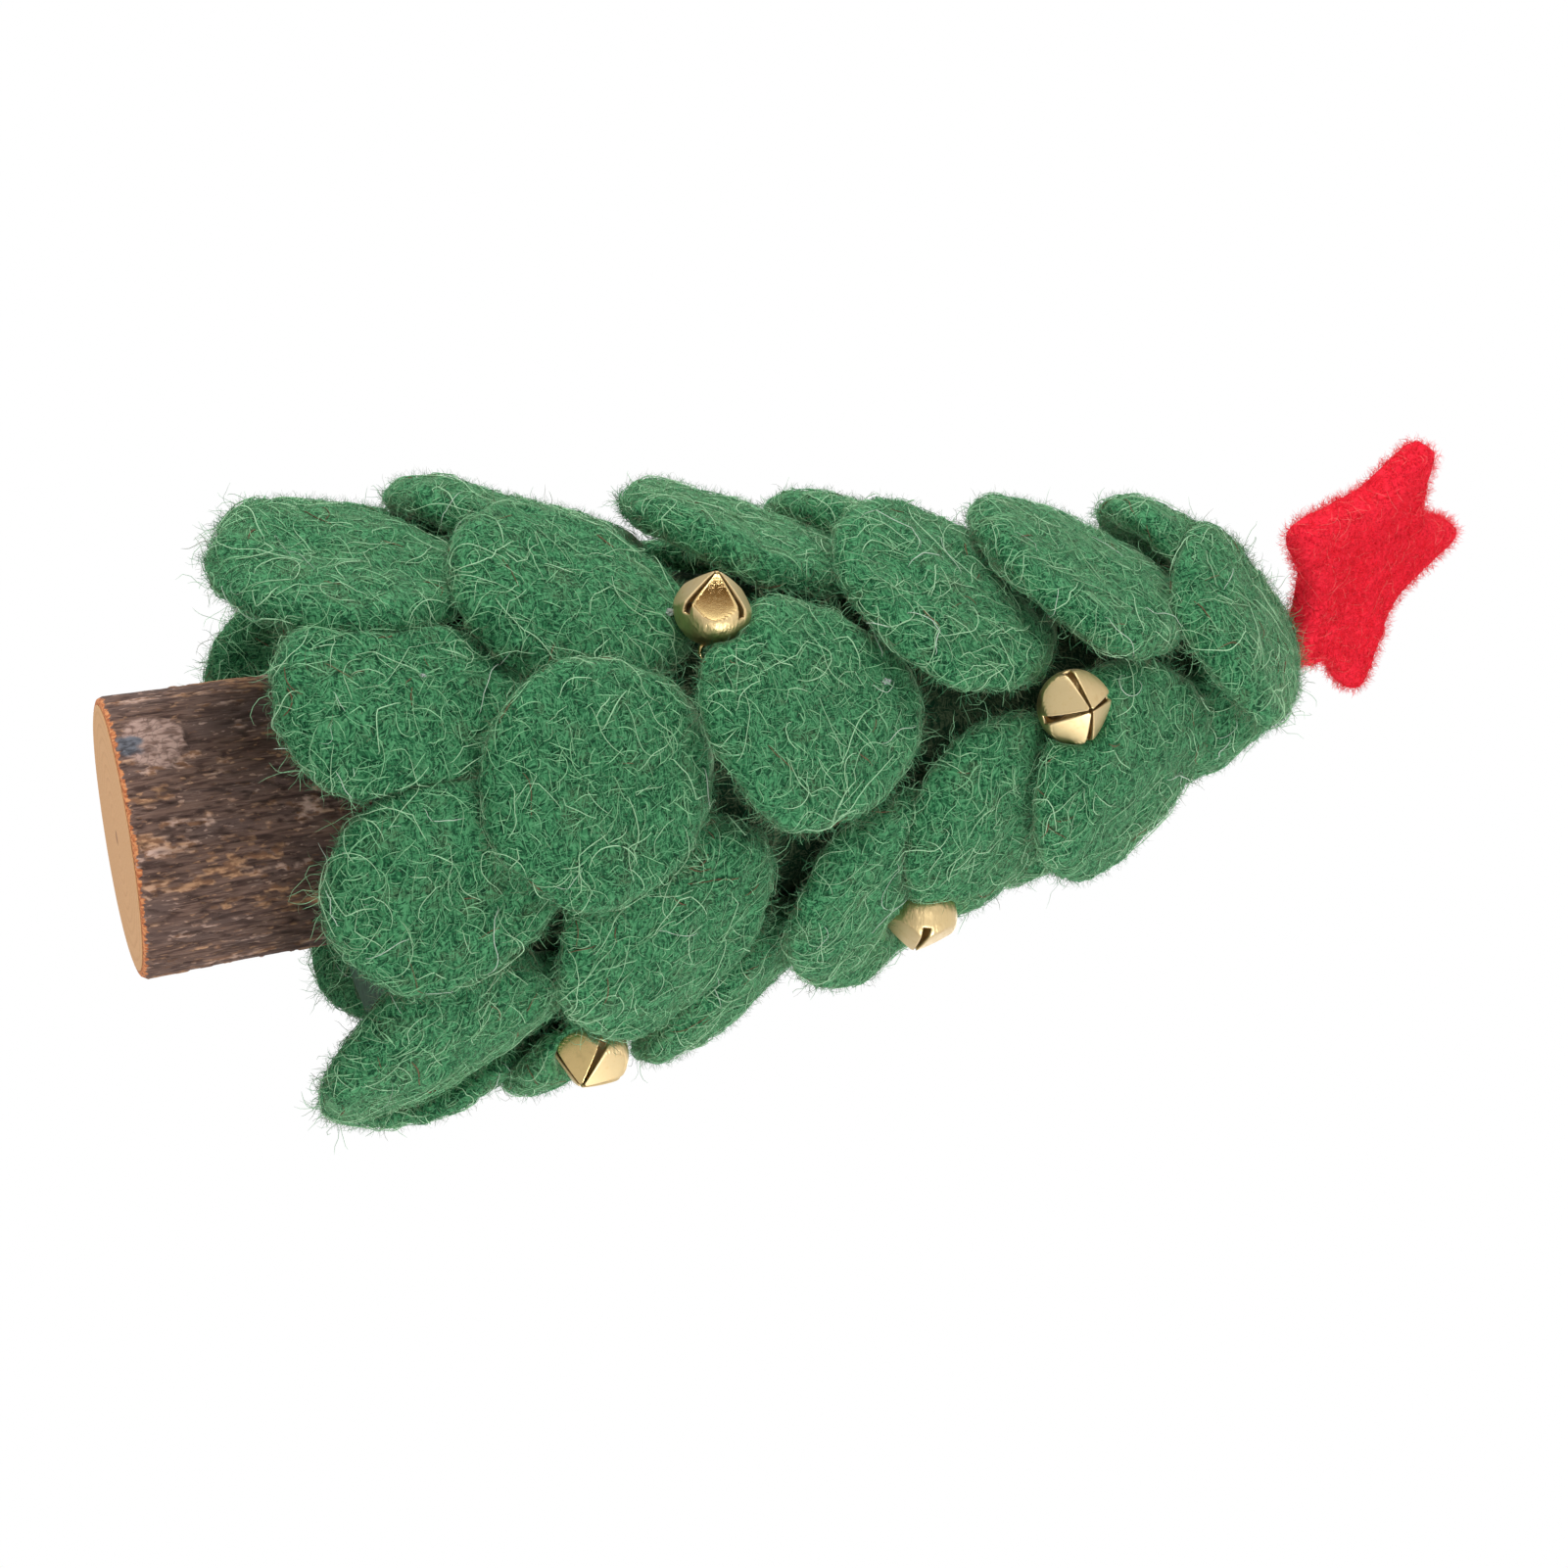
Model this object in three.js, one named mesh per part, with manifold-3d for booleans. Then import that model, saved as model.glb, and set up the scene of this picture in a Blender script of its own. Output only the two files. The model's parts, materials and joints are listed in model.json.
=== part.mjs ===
// Felt christmas tree: a length of branch for a trunk, a foam cone shingled with felt petals, a felt star
// and eight jingle bells.
// Millimetres, +Z up along the tree, origin in the middle of the trunk's sawn foot.
// A bearing is an angle in degrees about +Z, from the front (-Y) toward +X.

import * as THREE from 'three';
import { mergeVertices } from 'three/addons/utils/BufferGeometryUtils.js';
import Module from 'manifold-3d';

// Fits
const gap = 0.3;
const overrun = 1;

// Trunk: a length of natural branch
const trunkDiameter = 36.4;
const barkThickness = 1.6;
const trunkClearHeight = 30;
const socketDepth = 22;
const footChamfer = 0.5;
const trunkSides = 28;

// The branch isn't round: each entry presses it in by a share of its radius, at a number of places
const branchLobes = [
  { count: 1, turn: 200, pressShare: 0.008 },
  { count: 2, turn: 0, pressShare: 0.018 },
  { count: 5, turn: 30, pressShare: 0.008 },
];

// Foam cone with a blunt top
const coneHeight = 120;
const coneFootDiameter = 63;
const coneTopDiameter = 17;
const coneEdgeRadius = 3;
const coneDomeHeight = 5;
const coneSides = 28;
const domeSteps = 3;

// Thin felt wrapped round the cone, open below
const wrapThickness = 1.2;

// Felt petals: tongues with a round hem and a longer, narrowing upper end. tipSeatShare is how far the upper
// end's mid layer stays off the wrap, in felt thicknesses. The top row's ends meet in a bud that rises over
// the cone's top.
const feltThickness = 4.2;
const petalWidth = 30;
const petalLength = 36.5;
const tipSeatShare = 0.3;
const budRise = 16;
const petalSides = 18;
const liftPower = 1.5;
const cutTolerance = 0.1;

// Star, cut from red felt of about the same thickness
const starDiameter = 44;
const starThickness = 4.2;
const starFaceBearing = 40;
const starLeanBack = 22;
const starRise = 11.6;
const starShift = -9.2;
const starSetBack = 3.7;
const starCornerRound = 4;
const starEdgeRound = 0.9;
const starEdgeSteps = 2;

// Jingle bells, each with a steel pellet loose inside
const bellDiameter = 10;
const bellWall = 0.5;
const bellPanelTilt = 45;
const bellPanelBendShare = 3.4;
const bellSlotTipWidth = 0.35;
const bellSlotEndWidth = 1.1;
const bellSlotFoot = 0.9;
const bellLoopDiameter = 3.2;
const bellLoopWire = 0.7;
const bellSides = 14;
const bellInnerSides = 10;
const bellPanelSides = 36;
const bellLoopSides = 8;
const bellWireSides = 4;
const pocketSides = 12;
const pelletDiameter = 3;
const pelletPlay = 0.35;
const pelletOffset = 1;

// Rows of felt petals, from the foot up. heightShare puts the row's hems on the cone, as a share of its
// height. standShare says how far out the hem's mid layer stands, and crownShare how far a petal bows out,
// both in felt thicknesses. narrowShare is how much its upper end draws in. Of two neighbours in a row, the
// one with the higher level lies on top. riseShare lifts the hem by a share of the petal's width, sizeShare
// is its own width as a share of petalWidth, and tuckShare moves the hem in, in felt thicknesses.
const rows = [
  {
    heightShare: -0.108, standShare: 1.3, crownShare: 0.48, narrowShare: 0.1,
    petals: [
      { bearing: -51, level: 3, riseShare: -0.13, sizeShare: 0.93, tuckShare: 1 },
      { bearing: -16, level: 2, riseShare: -0.02, sizeShare: 0.85, tuckShare: 0 },
      { bearing: 19, level: 2, riseShare: 0.06, sizeShare: 0.85, tuckShare: 0 },
      { bearing: 63, level: 1, riseShare: 0.02, sizeShare: 1.08, tuckShare: -0.1 },
      { bearing: 106, level: 2, riseShare: 0.16, sizeShare: 1, tuckShare: -0.15 },
      { bearing: 145, level: 1, riseShare: 0.3, sizeShare: 1.04, tuckShare: 0.2 },
      { bearing: 207, level: 2, riseShare: 0.03, sizeShare: 1.1, tuckShare: 0 },
      { bearing: 258, level: 1, riseShare: 0.1, sizeShare: 1, tuckShare: 0.3 },
    ],
  },
  {
    heightShare: 0.1, standShare: 2.1, crownShare: 0.38, narrowShare: 0.1,
    petals: [
      { bearing: -84, level: 1, riseShare: -0.05, sizeShare: 0.98, tuckShare: 0.2 },
      { bearing: -38, level: 2, riseShare: -0.02, sizeShare: 0.92, tuckShare: 0.2 },
      { bearing: 5, level: 3, riseShare: -0.1, sizeShare: 0.98, tuckShare: 0 },
      { bearing: 44, level: 2, riseShare: 0.18, sizeShare: 1, tuckShare: 0 },
      { bearing: 88, level: 1, riseShare: 0.08, sizeShare: 1.02, tuckShare: -0.4 },
      { bearing: 133, level: 3, riseShare: -0.04, sizeShare: 1.02, tuckShare: 0 },
      { bearing: 180, level: 1, riseShare: 0.06, sizeShare: 1, tuckShare: 0 },
      { bearing: 228, level: 3, riseShare: 0, sizeShare: 1.02, tuckShare: 0.1 },
    ],
  },
  {
    heightShare: 0.35, standShare: 2.15, crownShare: 0.38, narrowShare: 0.15,
    petals: [
      { bearing: -70, level: 3, riseShare: -0.06, sizeShare: 1.05, tuckShare: 0 },
      { bearing: -4, level: 3, riseShare: -0.08, sizeShare: 0.98, tuckShare: 0 },
      { bearing: 58, level: 2, riseShare: 0.28, sizeShare: 1, tuckShare: 0 },
      { bearing: 91, level: 1, riseShare: -0.3, sizeShare: 1.06, tuckShare: -1.15 },
      { bearing: 160, level: 2, riseShare: 0.06, sizeShare: 1, tuckShare: 0 },
      { bearing: 225, level: 1, riseShare: 0.04, sizeShare: 1, tuckShare: 0 },
    ],
  },
  {
    heightShare: 0.54, standShare: 2.15, crownShare: 0.38, narrowShare: 0.2,
    petals: [
      { bearing: -95, level: 2, riseShare: -0.02, sizeShare: 1, tuckShare: -0.4 },
      { bearing: -38, level: 3, riseShare: -0.04, sizeShare: 1.03, tuckShare: 0 },
      { bearing: 45, level: 2, riseShare: 0.08, sizeShare: 1, tuckShare: 0.2 },
      { bearing: 113, level: 1, riseShare: 0.02, sizeShare: 0.98, tuckShare: 0.4 },
      { bearing: 158, level: 3, riseShare: -0.05, sizeShare: 1, tuckShare: 0 },
      { bearing: 212, level: 1, riseShare: 0.06, sizeShare: 0.98, tuckShare: 0 },
    ],
  },
  {
    heightShare: 0.73, standShare: 2.25, crownShare: 0.38, narrowShare: 0.18,
    petals: [
      { bearing: -50, level: 3, riseShare: -0.05, sizeShare: 1.06, tuckShare: -0.35 },
      { bearing: 37, level: 2, riseShare: -0.06, sizeShare: 1.06, tuckShare: -0.45 },
      { bearing: 112, level: 1, riseShare: 0.02, sizeShare: 0.98, tuckShare: 0 },
      { bearing: 205, level: 2, riseShare: 0, sizeShare: 1.02, tuckShare: 0 },
    ],
  },
  {
    heightShare: 0.93, standShare: 2.4, crownShare: 0.86, narrowShare: 0.6,
    petals: [
      { bearing: -86, level: 3, riseShare: 0, sizeShare: 0.92, tuckShare: -0.7 },
      { bearing: -21, level: 4, riseShare: 0.01, sizeShare: 0.84, tuckShare: 0.3 },
      { bearing: 56, level: 2, riseShare: 0.04, sizeShare: 0.84, tuckShare: 2.1 },
      { bearing: 158, level: 1, riseShare: 0.03, sizeShare: 0.92, tuckShare: 0.7 },
    ],
  },
];

// Where the bells are glued. layerShare is the felt under a bell, in felt thicknesses. The pole is where
// the slots cross, by its bearing and its tilt up. spin turns the slots about it.
const bellSeats = [
  { bearing: -29, heightShare: 0.371, layerShare: 1, poleBearing: -61, poleTilt: 8, spin: 61 },
  { bearing: 7, heightShare: 0.771, layerShare: 1.25, poleBearing: 11, poleTilt: 4, spin: 79 },
  { bearing: 70, heightShare: 0.6, layerShare: 1.15, poleBearing: 108, poleTilt: -14, spin: 80 },
  { bearing: 74, heightShare: 0.2, layerShare: 1.3, poleBearing: 58, poleTilt: -28, spin: 16 },
  { bearing: 143, heightShare: 0.39, layerShare: 1.15, poleBearing: 150, poleTilt: 5, spin: 30 },
  { bearing: 160, heightShare: 0.76, layerShare: 1.25, poleBearing: 155, poleTilt: -6, spin: 70 },
  { bearing: 240, heightShare: 0.58, layerShare: 1.2, poleBearing: 236, poleTilt: -8, spin: 12 },
  { bearing: 205, heightShare: 0.2, layerShare: 1.5, poleBearing: 210, poleTilt: -12, spin: 48 },
];

// The star's hand-cut outline: points and notches in turn, each by its angle from the top, clockwise, and
// its distance from the middle as a share of the star's half diameter
const starCorners = [
  { turn: -2, reachShare: 1.02 },
  { turn: 45, reachShare: 0.41 },
  { turn: 84, reachShare: 1 },
  { turn: 116, reachShare: 0.62 },
  { turn: 138, reachShare: 0.9 },
  { turn: 180, reachShare: 0.58 },
  { turn: 214, reachShare: 1.14 },
  { turn: 245, reachShare: 0.76 },
  { turn: 295, reachShare: 1 },
  { turn: 316, reachShare: 0.54 },
];

// Materials
const felt = new THREE.MeshStandardMaterial({ color: 0x2d7d50, roughness: 1, metalness: 0 });
const starFelt = new THREE.MeshStandardMaterial({ color: 0xe1192d, roughness: 1, metalness: 0 });
const foam = new THREE.MeshStandardMaterial({ color: 0x3c5c46, roughness: 0.9, metalness: 0 });
const wood = new THREE.MeshStandardMaterial({ color: 0xd7af7d, roughness: 0.7, metalness: 0 });
const bark = new THREE.MeshStandardMaterial({ color: 0x4b3c3a, roughness: 0.95, metalness: 0 });
const brass = new THREE.MeshStandardMaterial({ color: 0xd7be82, roughness: 0.25, metalness: 1 });
const steel = new THREE.MeshStandardMaterial({ color: 0xb8b8b8, roughness: 0.3, metalness: 1 });

const wasm = await Module();
wasm.setup();

// Solids and meshes

function toSolid(geometry) {
  const bare = geometry.index ? geometry.clone() : mergeVertices(geometry);
  for (const name of Object.keys(bare.attributes)) {
    if (name !== 'position') {
      bare.deleteAttribute(name);
    }
  }
  const welded = mergeVertices(bare);
  return new wasm.Manifold(new wasm.Mesh({
    numProp: 3,
    vertProperties: new Float32Array(welded.attributes.position.array),
    triVerts: new Uint32Array(welded.index.array),
  }));
}

function toGeometry(solid) {
  const mesh = solid.getMesh();
  const geometry = new THREE.BufferGeometry();
  geometry.setAttribute('position', new THREE.BufferAttribute(mesh.vertProperties, mesh.numProp));
  geometry.setIndex(new THREE.BufferAttribute(mesh.triVerts, 1));
  geometry.computeVertexNormals();
  return geometry;
}

function largest(solid) {
  return solid.decompose().reduce((best, piece) => (piece.volume() > best.volume() ? piece : best));
}

function touch(a, b) {
  const p = a.boundingBox();
  const q = b.boundingBox();
  return [0, 1, 2].every((axis) => p.min[axis] <= q.max[axis] && q.min[axis] <= p.max[axis]);
}

function addMesh(group, name, geometry, material) {
  const mesh = new THREE.Mesh(geometry, material);
  mesh.name = name;
  group.add(mesh);
  return mesh;
}

function polar(radius, bearing, height) {
  return new THREE.Vector3(radius * Math.sin(bearing), -radius * Math.cos(bearing), height);
}

// Foam cone

const coneFootHeight = trunkClearHeight;
const coneTopHeight = coneFootHeight + coneHeight;
const budTopHeight = coneTopHeight + budRise;
const coneSlope = (coneFootDiameter - coneTopDiameter) / 2 / coneHeight;

function coneRadius(height) {
  return coneTopDiameter / 2 + (coneTopHeight - height) * coneSlope;
}

// The felt wrap's outer face, on which the petals are glued

function wrapRadius(height) {
  return coneRadius(height) + gap + wrapThickness;
}

function domeProfile(grow) {
  const shoulder = coneTopHeight - coneEdgeRadius;
  const profile = [];
  for (let step = 0; step <= domeSteps; step++) {
    const turn = (step / domeSteps) * Math.PI / 2;
    const across = step === domeSteps ? 0 : (coneRadius(shoulder) + grow) * Math.cos(turn);
    const up = (coneEdgeRadius + coneDomeHeight + grow) * Math.sin(turn);
    profile.push(new THREE.Vector2(across, shoulder + up));
  }
  return profile;
}

function coneGeometry() {
  const socketRadius = trunkDiameter / 2 + gap;
  const roof = coneFootHeight + socketDepth + gap;
  return latheAboutZ([
    new THREE.Vector2(0, roof),
    new THREE.Vector2(socketRadius, roof),
    new THREE.Vector2(socketRadius, coneFootHeight),
    new THREE.Vector2(coneFootDiameter / 2, coneFootHeight),
    ...domeProfile(0),
  ], coneSides);
}

function wrapGeometry(inner, outer) {
  return latheAboutZ([
    ...domeProfile(inner).reverse(),
    new THREE.Vector2(coneFootDiameter / 2 + inner, coneFootHeight),
    new THREE.Vector2(coneFootDiameter / 2 + outer, coneFootHeight),
    ...domeProfile(outer),
  ], coneSides);
}

function latheAboutZ(profile, sides) {
  return new THREE.LatheGeometry(profile, sides).rotateX(Math.PI / 2);
}

// Trunk

function branchShare(turn) {
  return branchLobes.reduce((share, lobe) => {
    const away = turn - THREE.MathUtils.degToRad(lobe.turn);
    return share - lobe.pressShare * Math.cos(lobe.count * away / 2) ** 2;
  }, 1);
}

function branchGeometry(outerRadius, innerRadius, foot) {
  const top = coneFootHeight + socketDepth;
  const profile = [
    new THREE.Vector2(innerRadius, foot),
    new THREE.Vector2(outerRadius - footChamfer, foot),
    new THREE.Vector2(outerRadius, foot + footChamfer),
    new THREE.Vector2(outerRadius, top),
    new THREE.Vector2(innerRadius, top),
  ];
  if (innerRadius > 0) {
    profile.push(profile[0].clone());
  }
  const geometry = latheAboutZ(profile, trunkSides);
  const place = geometry.attributes.position;
  for (let i = 0; i < place.count; i++) {
    const share = branchShare(Math.atan2(place.getY(i), place.getX(i)));
    place.setXY(i, place.getX(i) * share, place.getY(i) * share);
  }
  return geometry;
}

// Felt petals: a flat tongue of felt laid on its row's own cone, keeping its true size. Its sides lift over
// the neighbours that it lies on and press down under those that lie on it.

function layPoint(petal, across, along, outward) {
  const slantAway = petal.slantToCentre - along;
  const slant = Math.hypot(across, slantAway);
  const turn = Math.atan2(across, slantAway) / Math.sin(petal.lean);
  const side = across / petal.halfPitch[across < 0 ? 0 : 1];
  const layer = petal.layers[across < 0 ? 0 : 1] * Math.abs(side) ** liftPower;
  const bow = petal.crown * (1 - (along / (along < 0 ? petal.below : petal.above)) ** 2);
  const out = outward + bow + layer * (feltThickness + gap) / 2;
  const radius = slant * Math.sin(petal.lean) + out * Math.cos(petal.lean);
  const height = petal.centreHeight + (petal.slantToCentre - slant) * Math.cos(petal.lean)
    + out * Math.sin(petal.lean);
  return polar(radius, petal.bearing + turn, height);
}

const ringShares = [
  { reach: 0.5, depth: 1 },
  { reach: 0.87, depth: 1 },
  { reach: 1, depth: 0 },
  { reach: 0.87, depth: -1 },
  { reach: 0.5, depth: -1 },
];

function petalGeometry(petal, grow) {
  const half = feltThickness / 2 + grow;
  const points = [layPoint(petal, 0, 0, half)];
  for (const ring of ringShares) {
    for (let side = 0; side < petalSides; side++) {
      const turn = (side / petalSides) * 2 * Math.PI;
      const reach = (turn < Math.PI ? petal.above : petal.below) + grow;
      const along = reach * ring.reach * Math.sin(turn);
      const narrow = 1 - petal.narrowShare * Math.max(0, along / petal.above) ** 2;
      const across = (petal.halfWidth + grow) * ring.reach * Math.cos(turn) * narrow;
      points.push(layPoint(petal, across, along, half * ring.depth));
    }
  }
  points.push(layPoint(petal, 0, 0, -half));
  const faces = [];
  const last = points.length - 1;
  const at = (ring, side) => 1 + ring * petalSides + (side % petalSides);
  for (let side = 0; side < petalSides; side++) {
    faces.push(0, at(0, side), at(0, side + 1));
    for (let ring = 0; ring < ringShares.length - 1; ring++) {
      faces.push(at(ring, side), at(ring + 1, side), at(ring + 1, side + 1));
      faces.push(at(ring, side), at(ring + 1, side + 1), at(ring, side + 1));
    }
    faces.push(at(ringShares.length - 1, side + 1), at(ringShares.length - 1, side), last);
  }
  const geometry = new THREE.BufferGeometry().setFromPoints(points);
  geometry.setIndex(faces);
  return geometry;
}

function layRow(row, rowNumber) {
  const count = row.petals.length;
  const crown = feltThickness * row.crownShare;
  return row.petals.map((entry, index) => {
    const before = row.petals[(index + count - 1) % count];
    const after = row.petals[(index + 1) % count];
    const halfWidth = (petalWidth * entry.sizeShare) / 2;
    const hemHeight = coneFootHeight + coneHeight * row.heightShare + petalWidth * entry.riseShare;
    const hemRadius = wrapRadius(hemHeight) + feltThickness * (row.standShare - entry.tuckShare);
    const stand = feltThickness * (row.standShare - entry.tuckShare - tipSeatShare);
    const openLean = Math.atan(coneSlope) + Math.asin(stand / petalLength);
    const flatTop = hemHeight + petalLength * Math.cos(openLean);
    const inBud = flatTop > coneTopHeight + coneDomeHeight;
    const topHeight = inBud ? budTopHeight : flatTop;
    const onWrap = wrapRadius(topHeight) + gap + feltThickness * tipSeatShare;
    const topRadius = inBud ? feltThickness / 2 : onWrap;
    const lean = Math.atan2(hemRadius - topRadius, topHeight - hemHeight);
    const length = (topHeight - hemHeight) / Math.cos(lean);
    const centreRadius = hemRadius - halfWidth * Math.sin(lean);
    const step = (other) => {
      const apart = Math.abs(other.bearing - entry.bearing);
      const turn = THREE.MathUtils.degToRad(apart > 180 ? 360 - apart : apart);
      return (turn * (centreRadius + crown)) / 2;
    };
    return {
      name: `petal_row${rowNumber}_${String(index + 1).padStart(2, '0')}`,
      rank: [rowNumber, entry.level, index],
      bearing: THREE.MathUtils.degToRad(entry.bearing),
      halfWidth,
      below: halfWidth,
      above: length - halfWidth,
      narrowShare: row.narrowShare,
      crown,
      lean,
      slantToCentre: centreRadius / Math.sin(lean),
      centreHeight: hemHeight + halfWidth * Math.cos(lean),
      halfPitch: [step(before), step(after)],
      layers: [Math.sign(entry.level - before.level), Math.sign(entry.level - after.level)],
    };
  });
}

// A petal lies on those of lower rows, then on those of a lower level in its row

function liesOn(upper, lower) {
  const differs = upper.rank.findIndex((value, place) => value !== lower.rank[place]);
  return differs >= 0 && upper.rank[differs] > lower.rank[differs];
}

// Star

function starOutline() {
  const corners = starCorners.map(({ turn, reachShare }) => {
    const angle = THREE.MathUtils.degToRad(turn);
    const reach = (starDiameter / 2) * reachShare;
    return new THREE.Vector2(reach * Math.sin(angle), reach * Math.cos(angle));
  });
  const outline = new THREE.Shape();
  corners.forEach((corner, index) => {
    const last = corners[(index + corners.length - 1) % corners.length];
    const next = corners[(index + 1) % corners.length];
    const before = last.clone().sub(corner);
    const after = next.clone().sub(corner);
    const round = Math.min(starCornerRound, before.length() / 2, after.length() / 2);
    const start = before.setLength(round).add(corner);
    const end = after.setLength(round).add(corner);
    if (index === 0) {
      outline.moveTo(start.x, start.y);
    } else {
      outline.lineTo(start.x, start.y);
    }
    outline.quadraticCurveTo(corner.x, corner.y, end.x, end.y);
  });
  return outline;
}

function starGeometry(grow) {
  const edge = starEdgeRound;
  const geometry = new THREE.ExtrudeGeometry(starOutline(), {
    depth: starThickness - 2 * edge + 2 * grow,
    bevelEnabled: true,
    bevelThickness: edge,
    bevelSize: edge,
    bevelOffset: grow - edge,
    bevelSegments: starEdgeSteps,
    curveSegments: starEdgeSteps,
  });
  return geometry.translate(0, 0, edge - starThickness / 2 - grow);
}

const bearingOfFace = THREE.MathUtils.degToRad(starFaceBearing);
const leanBack = THREE.MathUtils.degToRad(starLeanBack);
const starNormal = polar(Math.cos(leanBack), bearingOfFace, Math.sin(leanBack));
const starSide = new THREE.Vector3(0, 0, 1).cross(starNormal).normalize();
const starUp = starNormal.clone().cross(starSide);
const starTurn = new THREE.Matrix4().makeBasis(starSide, starUp, starNormal);

// Bells

const bellRadius = bellDiameter / 2;
const panelTilt = THREE.MathUtils.degToRad(bellPanelTilt);

// The slotted half is pressed into four panels, bent one way like barrel staves, that meet at the pole

const panelBend = bellRadius * bellPanelBendShare;
const panelSetBack = Math.sqrt(panelBend ** 2 - (bellRadius * Math.sin(panelTilt)) ** 2)
  - bellRadius * Math.cos(panelTilt);

function bellBody(thinner, sides) {
  const ball = new THREE.SphereGeometry(bellRadius - thinner, sides, sides / 2).rotateX(Math.PI / 2);
  let body = toSolid(ball);
  for (let panel = 0; panel < 4; panel++) {
    const bend = panelBend - thinner;
    const stave = new THREE.CylinderGeometry(bend, bend, 2 * bellDiameter, bellPanelSides);
    stave.rotateY(Math.PI / bellPanelSides).translate(0, 0, -panelSetBack);
    stave.rotateY(panelTilt).rotateZ((panel + 0.5) * Math.PI / 2);
    body = body.intersect(toSolid(stave));
  }
  return body;
}

// A slot through the pole and down both sides, wider toward its ends

function slotGeometry() {
  const tip = bellSlotTipWidth / 2;
  const end = bellSlotEndWidth / 2;
  const outline = new THREE.Shape([
    new THREE.Vector2(-bellRadius - overrun, -end),
    new THREE.Vector2(0, -tip),
    new THREE.Vector2(bellRadius + overrun, -end),
    new THREE.Vector2(bellRadius + overrun, end),
    new THREE.Vector2(0, tip),
    new THREE.Vector2(-bellRadius - overrun, end),
  ]);
  return new THREE.ExtrudeGeometry(outline, { depth: bellDiameter, bevelEnabled: false })
    .translate(0, 0, bellSlotFoot);
}

function bellSolid() {
  let shell = bellBody(0, bellSides).subtract(bellBody(bellWall, bellInnerSides));
  for (let slot = 0; slot < 2; slot++) {
    shell = shell.subtract(toSolid(slotGeometry().rotateZ(slot * Math.PI / 2)));
  }
  const ring = (bellLoopDiameter - bellLoopWire) / 2;
  const loop = new THREE.TorusGeometry(ring, bellLoopWire / 2, bellWireSides, bellLoopSides);
  loop.rotateX(Math.PI / 2).translate(0, 0, -bellRadius - bellLoopDiameter / 2 + bellLoopWire);
  const inside = toSolid(new THREE.SphereGeometry(bellRadius - bellWall / 2, pocketSides, pocketSides / 2));
  return largest(shell.add(toSolid(loop).subtract(inside)).simplify(cutTolerance));
}

function bellPocket() {
  const reach = bellLoopDiameter + gap;
  const roomRadius = (bellRadius + gap) / Math.cos(Math.PI / pocketSides);
  const ball = new THREE.SphereGeometry(roomRadius, pocketSides, pocketSides / 2);
  const stem = new THREE.BoxGeometry(bellLoopDiameter + 2 * gap, bellLoopWire + 2 * gap, reach + bellRadius);
  stem.translate(0, 0, -(reach + bellRadius) / 2);
  return toSolid(ball).add(toSolid(stem));
}

function bellPlace(seat) {
  const bearing = THREE.MathUtils.degToRad(seat.bearing);
  const poleBearing = THREE.MathUtils.degToRad(seat.poleBearing);
  const poleTilt = THREE.MathUtils.degToRad(seat.poleTilt);
  const height = coneFootHeight + coneHeight * seat.heightShare;
  const radius = wrapRadius(height) + gap + feltThickness * seat.layerShare + bellRadius;
  const pole = polar(Math.cos(poleTilt), poleBearing, Math.sin(poleTilt));
  const east = new THREE.Vector3(0, 0, 1).cross(pole).normalize();
  const up = pole.clone().cross(east);
  const turn = new THREE.Matrix4().makeBasis(east, up, pole)
    .multiply(new THREE.Matrix4().makeRotationZ(-THREE.MathUtils.degToRad(seat.spin)));
  return { centre: polar(radius, bearing, height), pole, up, turn };
}

function pelletCentre(place) {
  const inner = bellRadius - bellWall - pelletDiameter / 2 - pelletPlay;
  const drop = Math.sqrt(inner ** 2 - pelletOffset ** 2);
  return place.centre.clone().addScaledVector(place.pole, -pelletOffset).addScaledVector(place.up, -drop);
}

// Assembly

const tree = new THREE.Group();

const barkInner = trunkDiameter / 2 - barkThickness;
addMesh(tree, 'trunk_log', branchGeometry(barkInner - gap, 0, 0), wood);
addMesh(tree, 'trunk_bark', branchGeometry(trunkDiameter / 2, barkInner, footChamfer), bark);

const places = bellSeats.map(bellPlace);
const pocket = bellPocket();
const pockets = places.map(({ centre, turn }) => pocket.transform(
  turn.clone().setPosition(centre).toArray(),
));

function addCore(name, geometry, material) {
  let solid = toSolid(geometry);
  for (const hollow of pockets) {
    if (touch(solid, hollow)) {
      solid = solid.subtract(hollow);
    }
  }
  addMesh(tree, name, toGeometry(largest(solid)), material);
}

addCore('foam_cone', coneGeometry(), foam);
addCore('felt_wrap', wrapGeometry(gap, gap + wrapThickness), felt);

const starCentre = polar(-starSetBack, bearingOfFace, budTopHeight + feltThickness / 2 + starRise)
  .addScaledVector(starSide, starShift);
const starPose = starTurn.clone().setPosition(starCentre);
const starMesh = addMesh(tree, 'felt_star', toGeometry(toSolid(starGeometry(0))), starFelt);
starMesh.applyMatrix4(starPose);
const starRoom = toSolid(starGeometry(gap)).transform(starPose.toArray());

const petals = rows.flatMap((row, index) => layRow(row, index + 1));
const rooms = petals.map((petal) => toSolid(petalGeometry(petal, gap)));
const coreRoom = toSolid(wrapGeometry(gap, gap + wrapThickness + gap));
for (const petal of petals) {
  let solid = toSolid(petalGeometry(petal, 0));
  const above = rooms.filter((room, other) => liesOn(petals[other], petal));
  for (const room of [...above, ...pockets, starRoom, coreRoom]) {
    if (touch(solid, room)) {
      solid = solid.subtract(room);
    }
  }
  addMesh(tree, petal.name, toGeometry(largest(solid.simplify(cutTolerance))), felt);
}

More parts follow.
